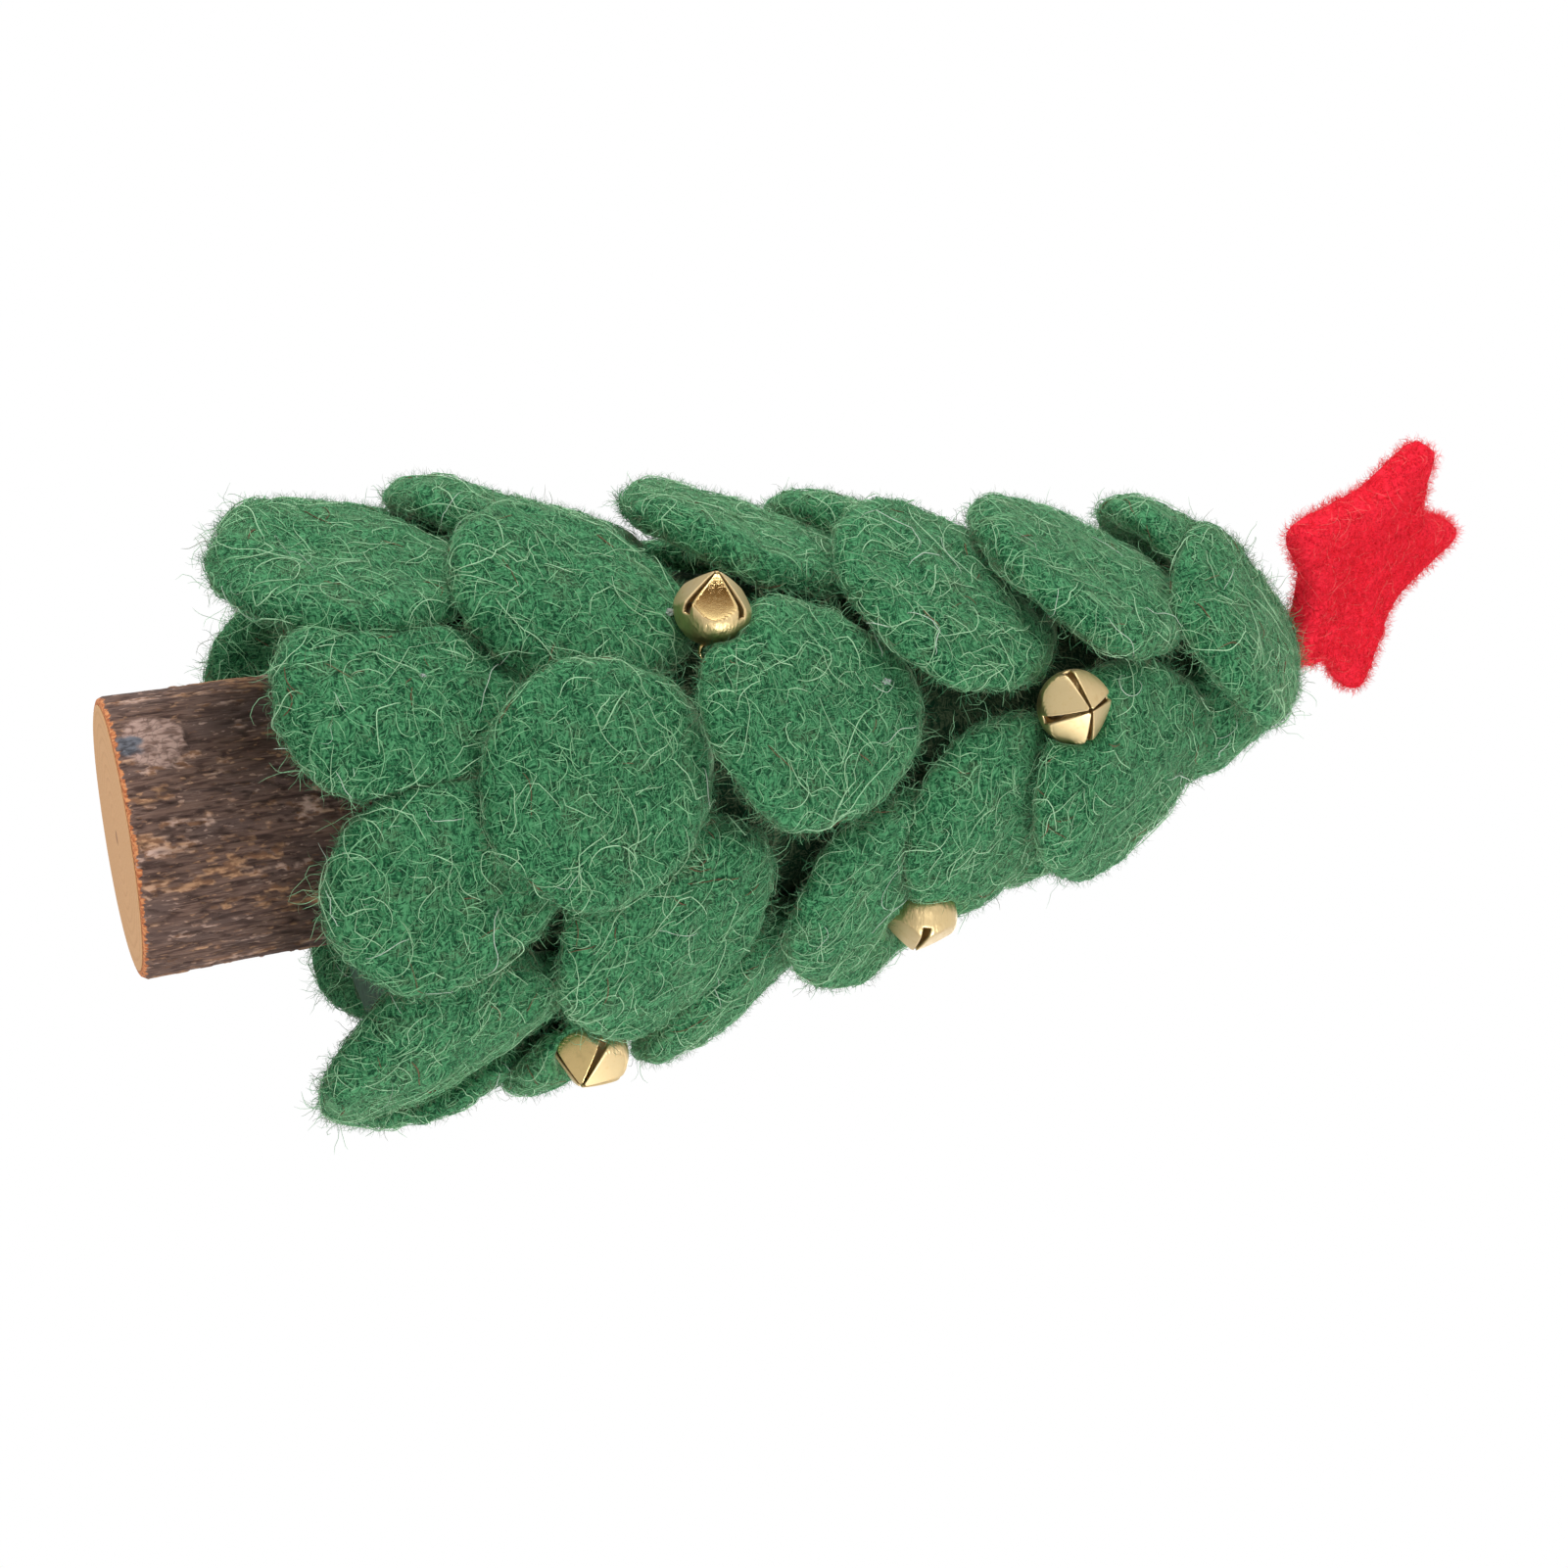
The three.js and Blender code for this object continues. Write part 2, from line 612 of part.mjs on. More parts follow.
const bellGeometry = toGeometry(bellSolid());
const pelletGeometry = new THREE.IcosahedronGeometry(pelletDiameter / 2, 1);
places.forEach((place, index) => {
  const shell = addMesh(tree, `bell_${index + 1}_shell`, bellGeometry, brass);
  shell.applyMatrix4(place.turn.clone().setPosition(place.centre));
  const pellet = addMesh(tree, `bell_${index + 1}_pellet`, pelletGeometry, steel);
  pellet.position.copy(pelletCentre(place));
});

export default tree;
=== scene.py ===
# Looks of the felt christmas tree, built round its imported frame. Lengths are in metres.
import json
import math

import bmesh
import bpy
import numpy as np
from mathutils import Matrix, Vector, noise
from mathutils.bvhtree import BVHTree


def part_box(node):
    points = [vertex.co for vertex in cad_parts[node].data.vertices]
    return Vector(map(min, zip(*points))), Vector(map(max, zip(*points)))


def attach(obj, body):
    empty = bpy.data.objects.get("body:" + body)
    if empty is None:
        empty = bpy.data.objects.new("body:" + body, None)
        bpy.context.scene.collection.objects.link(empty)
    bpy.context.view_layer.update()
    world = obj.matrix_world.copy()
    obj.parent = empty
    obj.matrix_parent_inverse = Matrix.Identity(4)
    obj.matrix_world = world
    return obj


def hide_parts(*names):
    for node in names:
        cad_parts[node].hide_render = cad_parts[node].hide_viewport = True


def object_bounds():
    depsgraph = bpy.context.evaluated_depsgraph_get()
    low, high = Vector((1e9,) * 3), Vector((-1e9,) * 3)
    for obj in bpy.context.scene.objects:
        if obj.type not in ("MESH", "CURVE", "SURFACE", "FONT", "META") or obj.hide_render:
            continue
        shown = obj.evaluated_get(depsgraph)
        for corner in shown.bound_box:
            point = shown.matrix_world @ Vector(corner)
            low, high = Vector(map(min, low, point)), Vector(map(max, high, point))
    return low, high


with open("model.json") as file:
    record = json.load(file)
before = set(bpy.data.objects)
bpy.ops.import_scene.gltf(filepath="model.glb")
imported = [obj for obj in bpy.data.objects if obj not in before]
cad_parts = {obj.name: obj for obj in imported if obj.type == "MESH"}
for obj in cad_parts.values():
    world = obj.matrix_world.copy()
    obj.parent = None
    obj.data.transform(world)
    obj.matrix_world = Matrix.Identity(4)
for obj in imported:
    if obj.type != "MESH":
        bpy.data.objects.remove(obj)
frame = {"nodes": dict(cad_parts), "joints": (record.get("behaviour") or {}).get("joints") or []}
cad_low, cad_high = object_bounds()
scene = bpy.context.scene
rng = np.random.default_rng(24)
mm = 0.001

# Camera, fitted to the photograph
camera_place = Vector((7.01, -397.19, -33.73)) * mm
camera_right = (0.1612, -0.2918, 0.9428)
camera_up = (-0.9869, -0.0477, 0.1540)
camera_back = (0.0, -0.9553, -0.2957)
camera_lens = 70
camera_sensor = 36
camera_clip = 10 * mm

# Light: its strength all round, lamps as (name, place, size, watts) and dark cards for the metal's
# reflections as (name, middle, half their width, colour)
world_light = 0.55
lamps = [
    ("key_light", (-0.82, -0.34, 0.15), 0.4, 5.0),
    ("fill_light", (0.82, -0.34, 0.12), 0.4, 4.6),
    ("front_light", (0.0, -0.9, 0.10), 0.5, 0.6),
    ("back_light", (0.1, 0.8, 0.45), 0.5, 2.4),
    ("foot_light", (-0.15, -0.35, -0.5), 0.3, 1.8),
]
cards = [
    ("dark_card_front", (-0.42, -0.46, 0.09), 0.15, (0.30, 0.19, 0.10)),
    ("dark_card_middle", (-0.37, -0.38, 0.13), 0.045, (0.06, 0.045, 0.025)),
    ("dark_card_low", (-0.28, -0.42, -0.30), 0.12, (0.20, 0.13, 0.065)),
    ("dark_card_side", (-0.5, -0.1, 0.15), 0.12, (0.06, 0.045, 0.035)),
]

# Floor
floor_hole = 16 * mm
floor_clear = 21 * mm
floor_radius = 0.8
floor_level = -0.05 * mm
floor_fade_shares = (0.25, 0.95)

# Sizes taken from the frame
trunk_low, trunk_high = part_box("trunk_bark")
cone_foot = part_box("foam_cone")[0].z
log_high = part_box("trunk_log")[1]

# Felt. Its lumps are (size, height)
felt_voxel = 0.65 * mm
wrap_voxel = 1.2 * mm
felt_rounds = 15
star_rounds = 5
star_points = 5
star_notch = 0.10
felt_puff = 0.30 * mm
felt_lumps = [(9 * mm, 0.65 * mm), (4 * mm, 0.34 * mm), (1.8 * mm, 0.14 * mm)]
seed_shift = (17.3, 5.1, 9.7)
mottle_size = 4 * mm
patch_size = 3.2 * mm
patch_shift = 0.3
level_shift = 0.1
sway_size = 2.6 * mm
streak_width = 0.24 * mm
streak_height = 0.18 * mm

# Branch. Its lobes are (count, bearing, share pressed in), and the two spots are (bearing, height, radius)
branch_lobes = [(1, 200, 0.008), (2, 0, 0.018), (5, 30, 0.008)]
knot_spot = (-37, 5 * mm, 4.1 * mm)
bruise_spot = (-36, 1.9 * mm, 1.9 * mm)
foot_flare = 0.45 * mm
bark_columns = 400
bark_step = 0.28 * mm
bark_gap = 0.3 * mm
bark_foot = 0.5 * mm
bark_over = 1 * mm
bark_tuck = 0.5 * mm
lip_steps = (0.4 * mm, 0.65 * mm, 0.2 * mm)
lip_levels = (0.15 * mm, 0.10 * mm, 0.12 * mm, 0.3 * mm)
lip_wear = 0.08 * mm
sawn_rim = 1.15 * mm
log_fill = 0.25 * mm
log_rings = 22
log_least_share = 0.004
log_edge_shares = (0.97, 0.985, 1.0)
log_rim_level = 0.1 * mm
log_side_level = 0.2 * mm
log_middle_level = 0.01 * mm
saw_mark_height = 0.02 * mm
saw_mark_wave = 0.9 * mm

# The bark's noises: size, how many times longer they are along the branch, and seed
bark_noises = {
    "fissure": (1.0 * mm, 6, 1), "grain": (0.45 * mm, 9, 2), "bands": (2.6 * mm, 5, 3),
    "patches": (0.9 * mm, 3, 4), "knot": (1.2 * mm, 1, 5), "bruise": (1.3 * mm, 1, 6),
    "scar": (1.0 * mm, 1, 7), "lip": (0.9 * mm, 1, 8), "ragged": (0.4 * mm, 2.6, 9), "swell": (5 * mm, 3, 10),
}
bark_lifts = {
    "grain": 0.07 * mm, "fissure": 0.25 * mm, "flake": 0.15 * mm, "swell": 0.16 * mm, "scar": 0.16 * mm,
    "rim": 0.15 * mm,
}
flake_shares = {"bands": 1.0, "patches": 0.9, "ragged": 0.5}

# The bark's colour noises grain, tone, speck, scratch and fleck: size, detail and length along the branch
bark_textures = [(0.42 * mm, 4, 9), (4 * mm, 3, 3), (0.6 * mm, 5, 2.5), (0.16 * mm, 3, 14), (0.5 * mm, 4, 3)]
swirl_size = 2.2 * mm
bark_bump = 0.2 * mm
edge_ragged = 1.8 * mm
edge_span = (0.65 * mm, 0.45 * mm)

# Sawn wood
wobble_size = 9 * mm
wobble_reach = 1.6 * mm
ring_width = 1.7 * mm
wood_grain = 0.35 * mm
wood_bump = 0.06 * mm
pith_span = (1.3 * mm, 0.6 * mm)

# Foam
foam_cell = 1.2 * mm
foam_bump = 0.3 * mm

# Bells. The dullness of each one's four panels runs from 0, polished, to 1
bell_radius = 5 * mm
bell_wall = 0.5 * mm
bell_panels = 4
bell_panel_tilt = 45
bell_panel_bend = 24 * mm
bell_softness = 44
bell_slot_tip = 0.15 * mm
bell_slot_end = 0.54 * mm
bell_slot_foot = 0.1 * mm
bell_slot_most = 0.7
bell_hole = 0.42 * mm
bell_rim = 0.09 * mm
bell_pressed = 0.1 * mm
bell_rows_above = 24
bell_rows_below = 30
bell_edge_turn = 0.03
bell_last_tilt = math.radians(177)
bell_column_shares = np.concatenate([[0, 0.03], np.linspace(0.09, 0.91, 12), [0.97, 1]])
bell_loop_radius = 1.25 * mm
bell_loop_wire = 0.35 * mm
bell_centres = np.array([joint["pos_m"] for joint in frame["joints"]])
bell_spins = [61, 79, 80, 16, 30, 70, 12, 48]
bell_dullness = {
    1: (0.0, 1.0, 0.9, 1.0), 2: (1.0, 0.9, 0.8, 1.0), 3: (0.9, 0.8, 1.0, 0.9), 4: (0.9, 1.0, 0.1, 1.0),
    5: (1.0, 0.2, 0.9, 1.0), 6: (0.9, 1.0, 0.1, 1.0), 7: (0.1, 0.9, 1.0, 1.0), 8: (1.0, 0.9, 0.1, 1.0),
}
dome_dullness = 0.75
quarter_turn = math.pi / 2
brush_width = 0.06 * mm
brush_bump = 0.016 * mm
ridge_size = 0.7 * mm
ridge_bump = 0.22 * mm
scuff_size = 0.8 * mm

# Specks of glue: where each shows in the photograph, and its radius
photo_width = 1601
glue_specks = [
    ((773, 600), 0.75 * mm), ((684, 626), 0.7 * mm), ((905, 696), 0.6 * mm), ((431, 690), 0.4 * mm),
]
glue_haze = 0.5 * mm
glue_lump_share = 0.6
glue_swell_share = 0.8
glue_wide_share = 0.6
glue_tall_share = 0.45
glue_raise_share = 0.3

# Colours, linear
deep_green = (0.006, 0.045, 0.020)
shade_green = (0.016, 0.050, 0.024)
felt_green = (0.026, 0.168, 0.064)
light_green = (0.105, 0.345, 0.158)
sheen_green = (0.600, 0.900, 0.560)
olive_green = (0.105, 0.150, 0.080)
star_red = (1.000, 0.022, 0.056)
star_dark = (0.620, 0.008, 0.020)
star_light = (1.000, 0.036, 0.066)
fibre_tints = {
    "green": (0.045, 0.235, 0.105), "light": (0.150, 0.420, 0.210), "pale": (0.300, 0.600, 0.330),
    "bright": (0.430, 0.700, 0.430), "white": (0.560, 0.680, 0.560), "olive": (0.170, 0.220, 0.125),
    "brown": (0.190, 0.105, 0.060), "red": star_light, "dark_red": (0.600, 0.030, 0.025),
    "pink": (1.000, 0.180, 0.170),
}
# The fissure colour, nearly black, is painted shade in the bark's cracks
bark_shades = {
    "deep": (0.074, 0.041, 0.033), "brown": (0.190, 0.113, 0.086), "grey": (0.125, 0.080, 0.068),
    "scratch": (0.300, 0.200, 0.160), "tan": (0.520, 0.290, 0.160), "pale": (0.560, 0.380, 0.310),
    "speck": (0.230, 0.115, 0.065), "scar_dark": (0.200, 0.120, 0.095), "scar": (0.460, 0.310, 0.260),
    "swirl": (0.110, 0.070, 0.058), "stain_dark": (0.060, 0.060, 0.070), "stain": (0.150, 0.155, 0.180),
    "fissure": (0.040, 0.022, 0.018), "edge_dark": (0.380, 0.110, 0.040), "edge": (0.640, 0.270, 0.110),
}
wood_pale = (0.590, 0.325, 0.145)
wood_dark = (0.510, 0.265, 0.108)
wood_bright = (0.640, 0.370, 0.175)
wood_pith = (0.300, 0.140, 0.060)
brass_bright = (0.800, 0.580, 0.260)
brass_dull = (0.670, 0.520, 0.285)
brass_worn = (0.560, 0.380, 0.170)
steel_grey = (0.5, 0.5, 0.5)
glue_dim = (0.50, 0.60, 0.55)
glue_clear = (0.86, 0.90, 0.88)
foam_dark = (0.020, 0.060, 0.035)
foam_green = (0.035, 0.100, 0.055)
floor_white = (0.88, 0.88, 0.87)

# Fibres
piece_triangles = 190_000
grain_spread = 0.85
open_reach = 7 * mm
seed_lift = 0.5 * mm
strand_near = 1.2 * mm
hair_root = 0.2 * mm
bell_clear = 0.25 * mm
tiny_area = 1e-20
tiny_length = 1e-12
tiny_spread = 1e-9
flat_heights = np.array([-0.1, 0.14, 0.20, -0.05]) * mm
raised_heights = np.array([-0.1, 0.50, 0.82]) * mm

# Each kind gives its name, colour, how many there are on each square millimetre, span of lengths, heights
# over the felt, radius and curl. The first also say whether they lie on the felt, and the strands how many
# points they have and how often they kink
short_kinds = [
    ("nap_green", "green", 0.20, (0.8 * mm, 2.4 * mm), flat_heights, 0.045 * mm, 0.4, True),
    ("nap_light", "light", 0.50, (0.8 * mm, 2.8 * mm), flat_heights, 0.052 * mm, 0.4, True),
    ("halo_green", "green", 0.55, (0.3 * mm, 1.7 * mm), raised_heights, 0.016 * mm, 1.0, False),
    ("halo_light", "light", 0.80, (0.3 * mm, 1.7 * mm), raised_heights, 0.016 * mm, 1.0, False),
    ("halo_olive", "olive", 0.60, (0.3 * mm, 1.8 * mm), raised_heights * 1.2, 0.016 * mm, 1.0, False),
]
star_kinds = [
    ("star_nap", "red", 1.8, (0.6 * mm, 1.9 * mm), flat_heights, 0.036 * mm, 0.5),
    ("star_halo", "red", 6.0, (0.4 * mm, 1.6 * mm), raised_heights * 1.15, 0.024 * mm, 0.9),
    ("star_halo_dark", "dark_red", 0.3, (0.4 * mm, 1.4 * mm), raised_heights, 0.022 * mm, 0.9),
    ("star_web", "pink", 0.25, (1.2 * mm, 4.0 * mm), flat_heights * 1.4, 0.038 * mm, 0.5),
]
long_kinds = [
    ("strands_light", "light", 0.22, (1.5 * mm, 5 * mm), 0.20 * mm, 0.056 * mm, 0.34, 7, 0.08),
    ("strands_pale", "pale", 0.25, (1.5 * mm, 7 * mm), 0.26 * mm, 0.058 * mm, 0.28, 9, 0.11),
    ("strands_bright", "bright", 0.035, (4 * mm, 12 * mm), 0.40 * mm, 0.064 * mm, 0.22, 15, 0.12),
    ("strands_brown", "brown", 0.008, (2 * mm, 7 * mm), 0.16 * mm, 0.080 * mm, 0.26, 9, 0.06),
    ("strands_long", "bright", 0.012, (7 * mm, 20 * mm), 0.40 * mm, 0.072 * mm, 0.20, 24, 0.12),
    ("strands_white", "white", 0.003, (5 * mm, 14 * mm), 0.35 * mm, 0.074 * mm, 0.22, 18, 0.12),
]
star_strand = {"density": 0.04, "span": (3 * mm, 9 * mm), "height": 0.25 * mm, "radius": 0.045 * mm}

# Hairs off the rims and at the lower hems. Their third column is a share of the hairs there
rim_density = 4.2
rim_turn = 0.6
rim_lean = 0.35
rim_kinds = [
    ("rim_green", "green", 0.32, (0.6 * mm, 2.6 * mm), 0.026 * mm),
    ("rim_light", "light", 0.32, (0.6 * mm, 3.2 * mm), 0.026 * mm),
    ("rim_olive", "olive", 0.26, (0.8 * mm, 4.0 * mm), 0.028 * mm),
    ("rim_pale", "pale", 0.10, (1.5 * mm, 7.0 * mm), 0.034 * mm),
]
hem_density = 0.12
hem_reach = 2 * mm
hem_facing = 0.3
hem_way = (0, 0, -0.7)
hem_span = (1 * mm, 7 * mm)
hem_radius = 0.038 * mm
hem_kinds = [("hem_pale", "pale", 0.6), ("hem_olive", "olive", 0.25), ("hem_white", "white", 0.15)]
star_rim = {"density": 1.5, "span": (0.5 * mm, 2.0 * mm), "radius": 0.024 * mm}


# Meshes

def mesh_of(name, points, quads, triangles=None):
    """A mesh from arrays of points, four-sided faces and, if there are any, three-sided ones."""
    mesh = bpy.data.meshes.new(name)
    faces = [quads] if triangles is None else [quads, triangles]
    corners = np.concatenate([f.ravel() for f in faces]).astype(np.int32)
    sides = np.concatenate([np.full(len(f), f.shape[1]) for f in faces])
    mesh.vertices.add(len(points))
    mesh.vertices.foreach_set("co", points.astype(np.float32).ravel())
    mesh.loops.add(len(corners))
    mesh.loops.foreach_set("vertex_index", corners)
    mesh.polygons.add(len(sides))
    mesh.polygons.foreach_set("loop_start", np.concatenate([[0], np.cumsum(sides)[:-1]]).astype(np.int32))
    mesh.update(calc_edges=True)
    mesh.shade_smooth()
    return mesh


def read(items, name, kind):
    """A value of three numbers from each item, as an array."""
    values = np.zeros(len(items) * 3, kind)
    items.foreach_get(name, values)
    return values.reshape(-1, 3)


def points_of(mesh):
    return read(mesh.vertices, "co", np.float32).astype(float)


def normals_of(mesh):
    return read(mesh.vertex_normals, "vector", np.float32).astype(float)


def triangles_of(mesh):
    mesh.calc_loop_triangles()
    return read(mesh.loop_triangles, "vertices", np.int32)


def set_points(mesh, points):
    mesh.vertices.foreach_set("co", points.astype(np.float32).ravel())
    mesh.update()


def set_mask(mesh, name, values):
    """Stores one number for each vertex, for a material to read."""
    attribute = mesh.attributes.new(name, "FLOAT", "POINT")
    attribute.data.foreach_set("value", np.asarray(values, np.float32))


def modified(mesh, *modifiers):
    """A new mesh: the given one with modifiers, each as (kind, settings)."""
    trial = bpy.data.objects.new("trial", mesh)
    scene.collection.objects.link(trial)
    for kind, settings in modifiers:
        modifier = trial.modifiers.new(kind.lower(), kind)
        for key, value in settings.items():
            setattr(modifier, key, value)
    made = bpy.data.meshes.new_from_object(trial.evaluated_get(bpy.context.evaluated_depsgraph_get()))
    bpy.data.objects.remove(trial)
    return made


def roughly(points, size, seed):
    """Smooth noise from about -1 to 1 at each point, with features of the given size."""
    shift = Vector([seed * step for step in seed_shift])
    return np.array([noise.noise(Vector(p) / size + shift) for p in points.tolist()])


def unit(vectors, least=0):
    """The vectors made one long. The least length keeps those of no length from failing."""
    return vectors / (np.linalg.norm(vectors, axis=-1, keepdims=True) + least)


def full_turn(steps):
    return np.linspace(0, 2 * np.pi, steps, endpoint=False)


def ways_of(tilt, turn):
    """Directions at a tilt from +Z and a turn round it."""
    return np.stack([np.sin(tilt) * np.cos(turn), np.sin(tilt) * np.sin(turn), np.cos(tilt) + 0 * turn], -1)


def neighbours(columns):
    """The numbers of a closed ring's points, and of the point after each."""
    ring = np.arange(columns)
    return ring, (ring + 1) % columns


def grid_faces(rows, columns):
    """Four-sided faces of a grid whose columns run round and meet."""
    row = np.arange(rows - 1)[:, None] * columns
    column, after = neighbours(columns)
    a, b = row + column, row + after
    return np.stack([a, b, b + columns, a + columns], -1).reshape(-1, 4)


def fan(a, b, tip):
    """Triangles from each pair of points to one tip."""
    return np.stack([a, b, np.full(len(a), tip)], -1)


def add_piece(name, mesh, material, body, replaces=()):
    """A finished piece of the object, on its body."""
    obj = bpy.data.objects.new(name, mesh)
    scene.collection.objects.link(obj)
    mesh.materials.clear()
    mesh.materials.append(material)
    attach(obj, body)
    if replaces:
        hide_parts(*replaces)
    return obj


# Materials

class Nodes:
    """Short calls for building a material's node tree."""

    def __init__(self, name):
        self.material = bpy.data.materials.new(name)
        self.material.use_nodes = True
        self.tree = self.material.node_tree
        self.shader = self.tree.nodes["Principled BSDF"]
        self.place = self.add("ShaderNodeTexCoord", "Object")

    def feed(self, socket, value):
        """Links an output to the socket, or sets a plain value or a colour on it."""
        if isinstance(value, bpy.types.NodeSocket):
            self.tree.links.new(value, socket)
        else:
            socket.default_value = (*value, 1) if socket.type == "RGBA" else value

    def add(self, kind, output, inputs=None, **settings):
        """Adds a node with its inputs and settings, and gives one of its outputs."""
        node = self.tree.nodes.new(kind)
        for key, value in settings.items():
            setattr(node, key, value)
        for key, value in (inputs or {}).items():
            self.feed(node.inputs[key], value)
        return node.outputs[output]

    def finished(self, **values):
        """The material, with values and outputs fed to its shader."""
        for key, value in values.items():
            self.feed(self.shader.inputs[key.replace("_", " ")], value)
        return self.material

    def noise(self, size, detail=3, stretch=(1, 1, 1), place=None, distort=0.0, shift=0.0):
        """Noise with features of the given size in metres, stretched along the axes and shifted."""
        scale = [1 / s for s in stretch]
        inputs = {"Location": (shift, shift, shift), "Scale": scale, "Vector": place or self.place}
        place = self.add("ShaderNodeMapping", "Vector", inputs)
        inputs = {"Scale": 1 / size, "Detail": detail, "Distortion": distort, "Vector": place}
        return self.add("ShaderNodeTexNoise", "Fac", inputs)

    def ramp(self, value, low, high, most=1.0):
        """Runs from 0 to the most as the value goes from low to high."""
        inputs = {"Value": value, "From Min": low, "From Max": high, "To Max": most}
        return self.add("ShaderNodeMapRange", "Result", inputs, interpolation_type="SMOOTHSTEP")

    def math(self, operation, a, b=0.0):
        return self.add("ShaderNodeMath", "Value", {0: a, 1: b}, operation=operation)

    def times(self, a, b):
        return self.math("MULTIPLY", a, b)

    def mix(self, share, a, b):
        """Mixes two colours."""
        return self.add("ShaderNodeMix", "Result", {"Factor": share, "A": a, "B": b}, data_type="RGBA")

    def blend(self, value, low, high, a, b, most=1.0):
        """Goes from one colour towards the other as the value goes from low to high."""
        return self.mix(self.ramp(value, low, high, most), a, b)

    def mask(self, name):
        """A number stored on the mesh."""
        return self.add("ShaderNodeAttribute", "Fac", attribute_name=name)

    def bump(self, height, distance, strength, **below):
        inputs = {"Height": height, "Distance": distance, "Strength": strength, **below}
        return self.add("ShaderNodeBump", "Normal", inputs)


def streaks(nodes, width, stretch, shift):
    """Fine wavy streaks, long the way they are stretched."""
    inputs = {"Scale": 1 / sway_size, "Detail": 1, "Vector": nodes.place}
    sway = nodes.add("ShaderNodeTexNoise", "Color", inputs)
    offset = nodes.add("ShaderNodeVectorMath", "Vector", {0: sway, "Scale": sway_size}, operation="SCALE")
    moved = nodes.add("ShaderNodeVectorMath", "Vector", {0: nodes.place, 1: offset}, operation="ADD")
    return nodes.noise(width, detail=2, stretch=stretch, place=moved, shift=shift)


def felt_material(name, deep, middle, light, patch, sheen):
    """Matted wool: soft mottling, patches of another tint, and fine hairs that run two ways."""
    nodes = Nodes(name)
    mottle = nodes.noise(mottle_size, detail=4)
    stray = nodes.noise(patch_size, detail=4, stretch=(1, 1, 1.6), shift=patch_shift)
    upright = streaks(nodes, streak_width, (1, 1, 7), 0.0)
    level = streaks(nodes, streak_width, (5, 5, 1), level_shift)
    lighter = [0.72 * m + 0.28 * v for m, v in zip(middle, light)]
    darker = [0.72 * m + 0.28 * d for m, d in zip(middle, deep)]
    colour = nodes.blend(mottle, 0.36, 0.64, darker, lighter)
    colour = nodes.blend(stray, 0.54, 0.68, colour, patch, most=0.55)
    for hairs, strength in ((upright, 0.95), (level, 0.75)):
        colour = nodes.blend(hairs, 0.47, 0.36, colour, deep, strength)
        colour = nodes.blend(hairs, 0.53, 0.64, colour, light, strength)
    normal = nodes.bump(nodes.math("ADD", upright, level), streak_height, 0.7)
    return nodes.finished(
        Base_Color=colour, Normal=normal, Roughness=0.95, Specular_IOR_Level=0.1, Sheen_Weight=1.0,
        Sheen_Roughness=0.32, Sheen_Tint=sheen,
    )


def fibre_material(name, colour):
    return Nodes(name).finished(Base_Color=colour, Roughness=0.75, Specular_IOR_Level=0.2)


# Felt pieces

def felted(node, voxel, rounds=felt_rounds):
    """The CAD solid with its edges rounded and its faces softly lumpy, as thick wool felt is."""
    mesh = modified(
        frame["nodes"][node].data.copy(),
        ("REMESH", {"mode": "VOXEL", "voxel_size": voxel}),
        ("SMOOTH", {"factor": 0.5, "iterations": rounds}),
    )
    points = points_of(mesh)
    lift = np.full(len(points), felt_puff)
    for seed, (size, height) in enumerate(felt_lumps):
        lift += height * roughly(points, size, seed)
    set_points(mesh, points + normals_of(mesh) * lift[:, None])
    mesh.shade_smooth()
    return mesh


def notched(mesh, share):
    """The star with its five notches drawn in towards its middle by a share of their distance."""
    points = points_of(mesh)
    middle = points.mean(axis=0)
    _, _, axes = np.linalg.svd(points - middle, full_matrices=False)
    x, y = ((points - middle) @ axes[:2].T).T
    reach, turn = np.hypot(x, y), np.arctan2(y, x)
    tip = turn[np.argmax(reach)]
    notch = (1 - np.cos(star_points * (turn - tip))) / 2
    flat = x[:, None] * axes[0] + y[:, None] * axes[1]
    set_points(mesh, points - flat * (share * notch * reach / reach.max() * 2)[:, None])
    return mesh


def soup(meshes):
    """All triangles of several meshes, and which mesh each belongs to."""
    points, triangles, owner = [], [], []
    count = 0
    for index, mesh in enumerate(meshes):
        points.append(points_of(mesh))
        triangles.append(triangles_of(mesh) + count)
        owner.append(np.full(len(triangles[-1]), index))
        count += len(points[-1])
    return np.concatenate(points), np.concatenate(triangles), np.concatenate(owner)


def surface_of(felt):
    """The surface of a soup, for rays and nearest points."""
    points, triangles, _ = felt
    return BVHTree.FromPolygons(points.tolist(), triangles.tolist())


def seeds_on(points, triangles, owner, per_mm2):
    """Random places on the triangles: place, normal and owner of each."""
    a, b, c = (points[triangles[:, k]] for k in range(3))
    cross = np.cross(b - a, c - a)
    area = np.linalg.norm(cross, axis=1) / 2
    count = int(area.sum() / mm ** 2 * per_mm2)
    chosen = rng.choice(len(area), count, p=area / area.sum())
    u, v = rng.random((2, count, 1))
    over = u + v > 1
    u, v = np.where(over, 1 - u, u), np.where(over, 1 - v, v)
    place = a[chosen] * (1 - u - v) + b[chosen] * u + c[chosen] * v
    normal = cross[chosen] / (2 * area[chosen, None] + tiny_area)
    return place, normal, owner[chosen]


def outward_of(place):
    """The level direction away from the tree's middle line at each place."""
    return unit(place * [1, 1, 0])


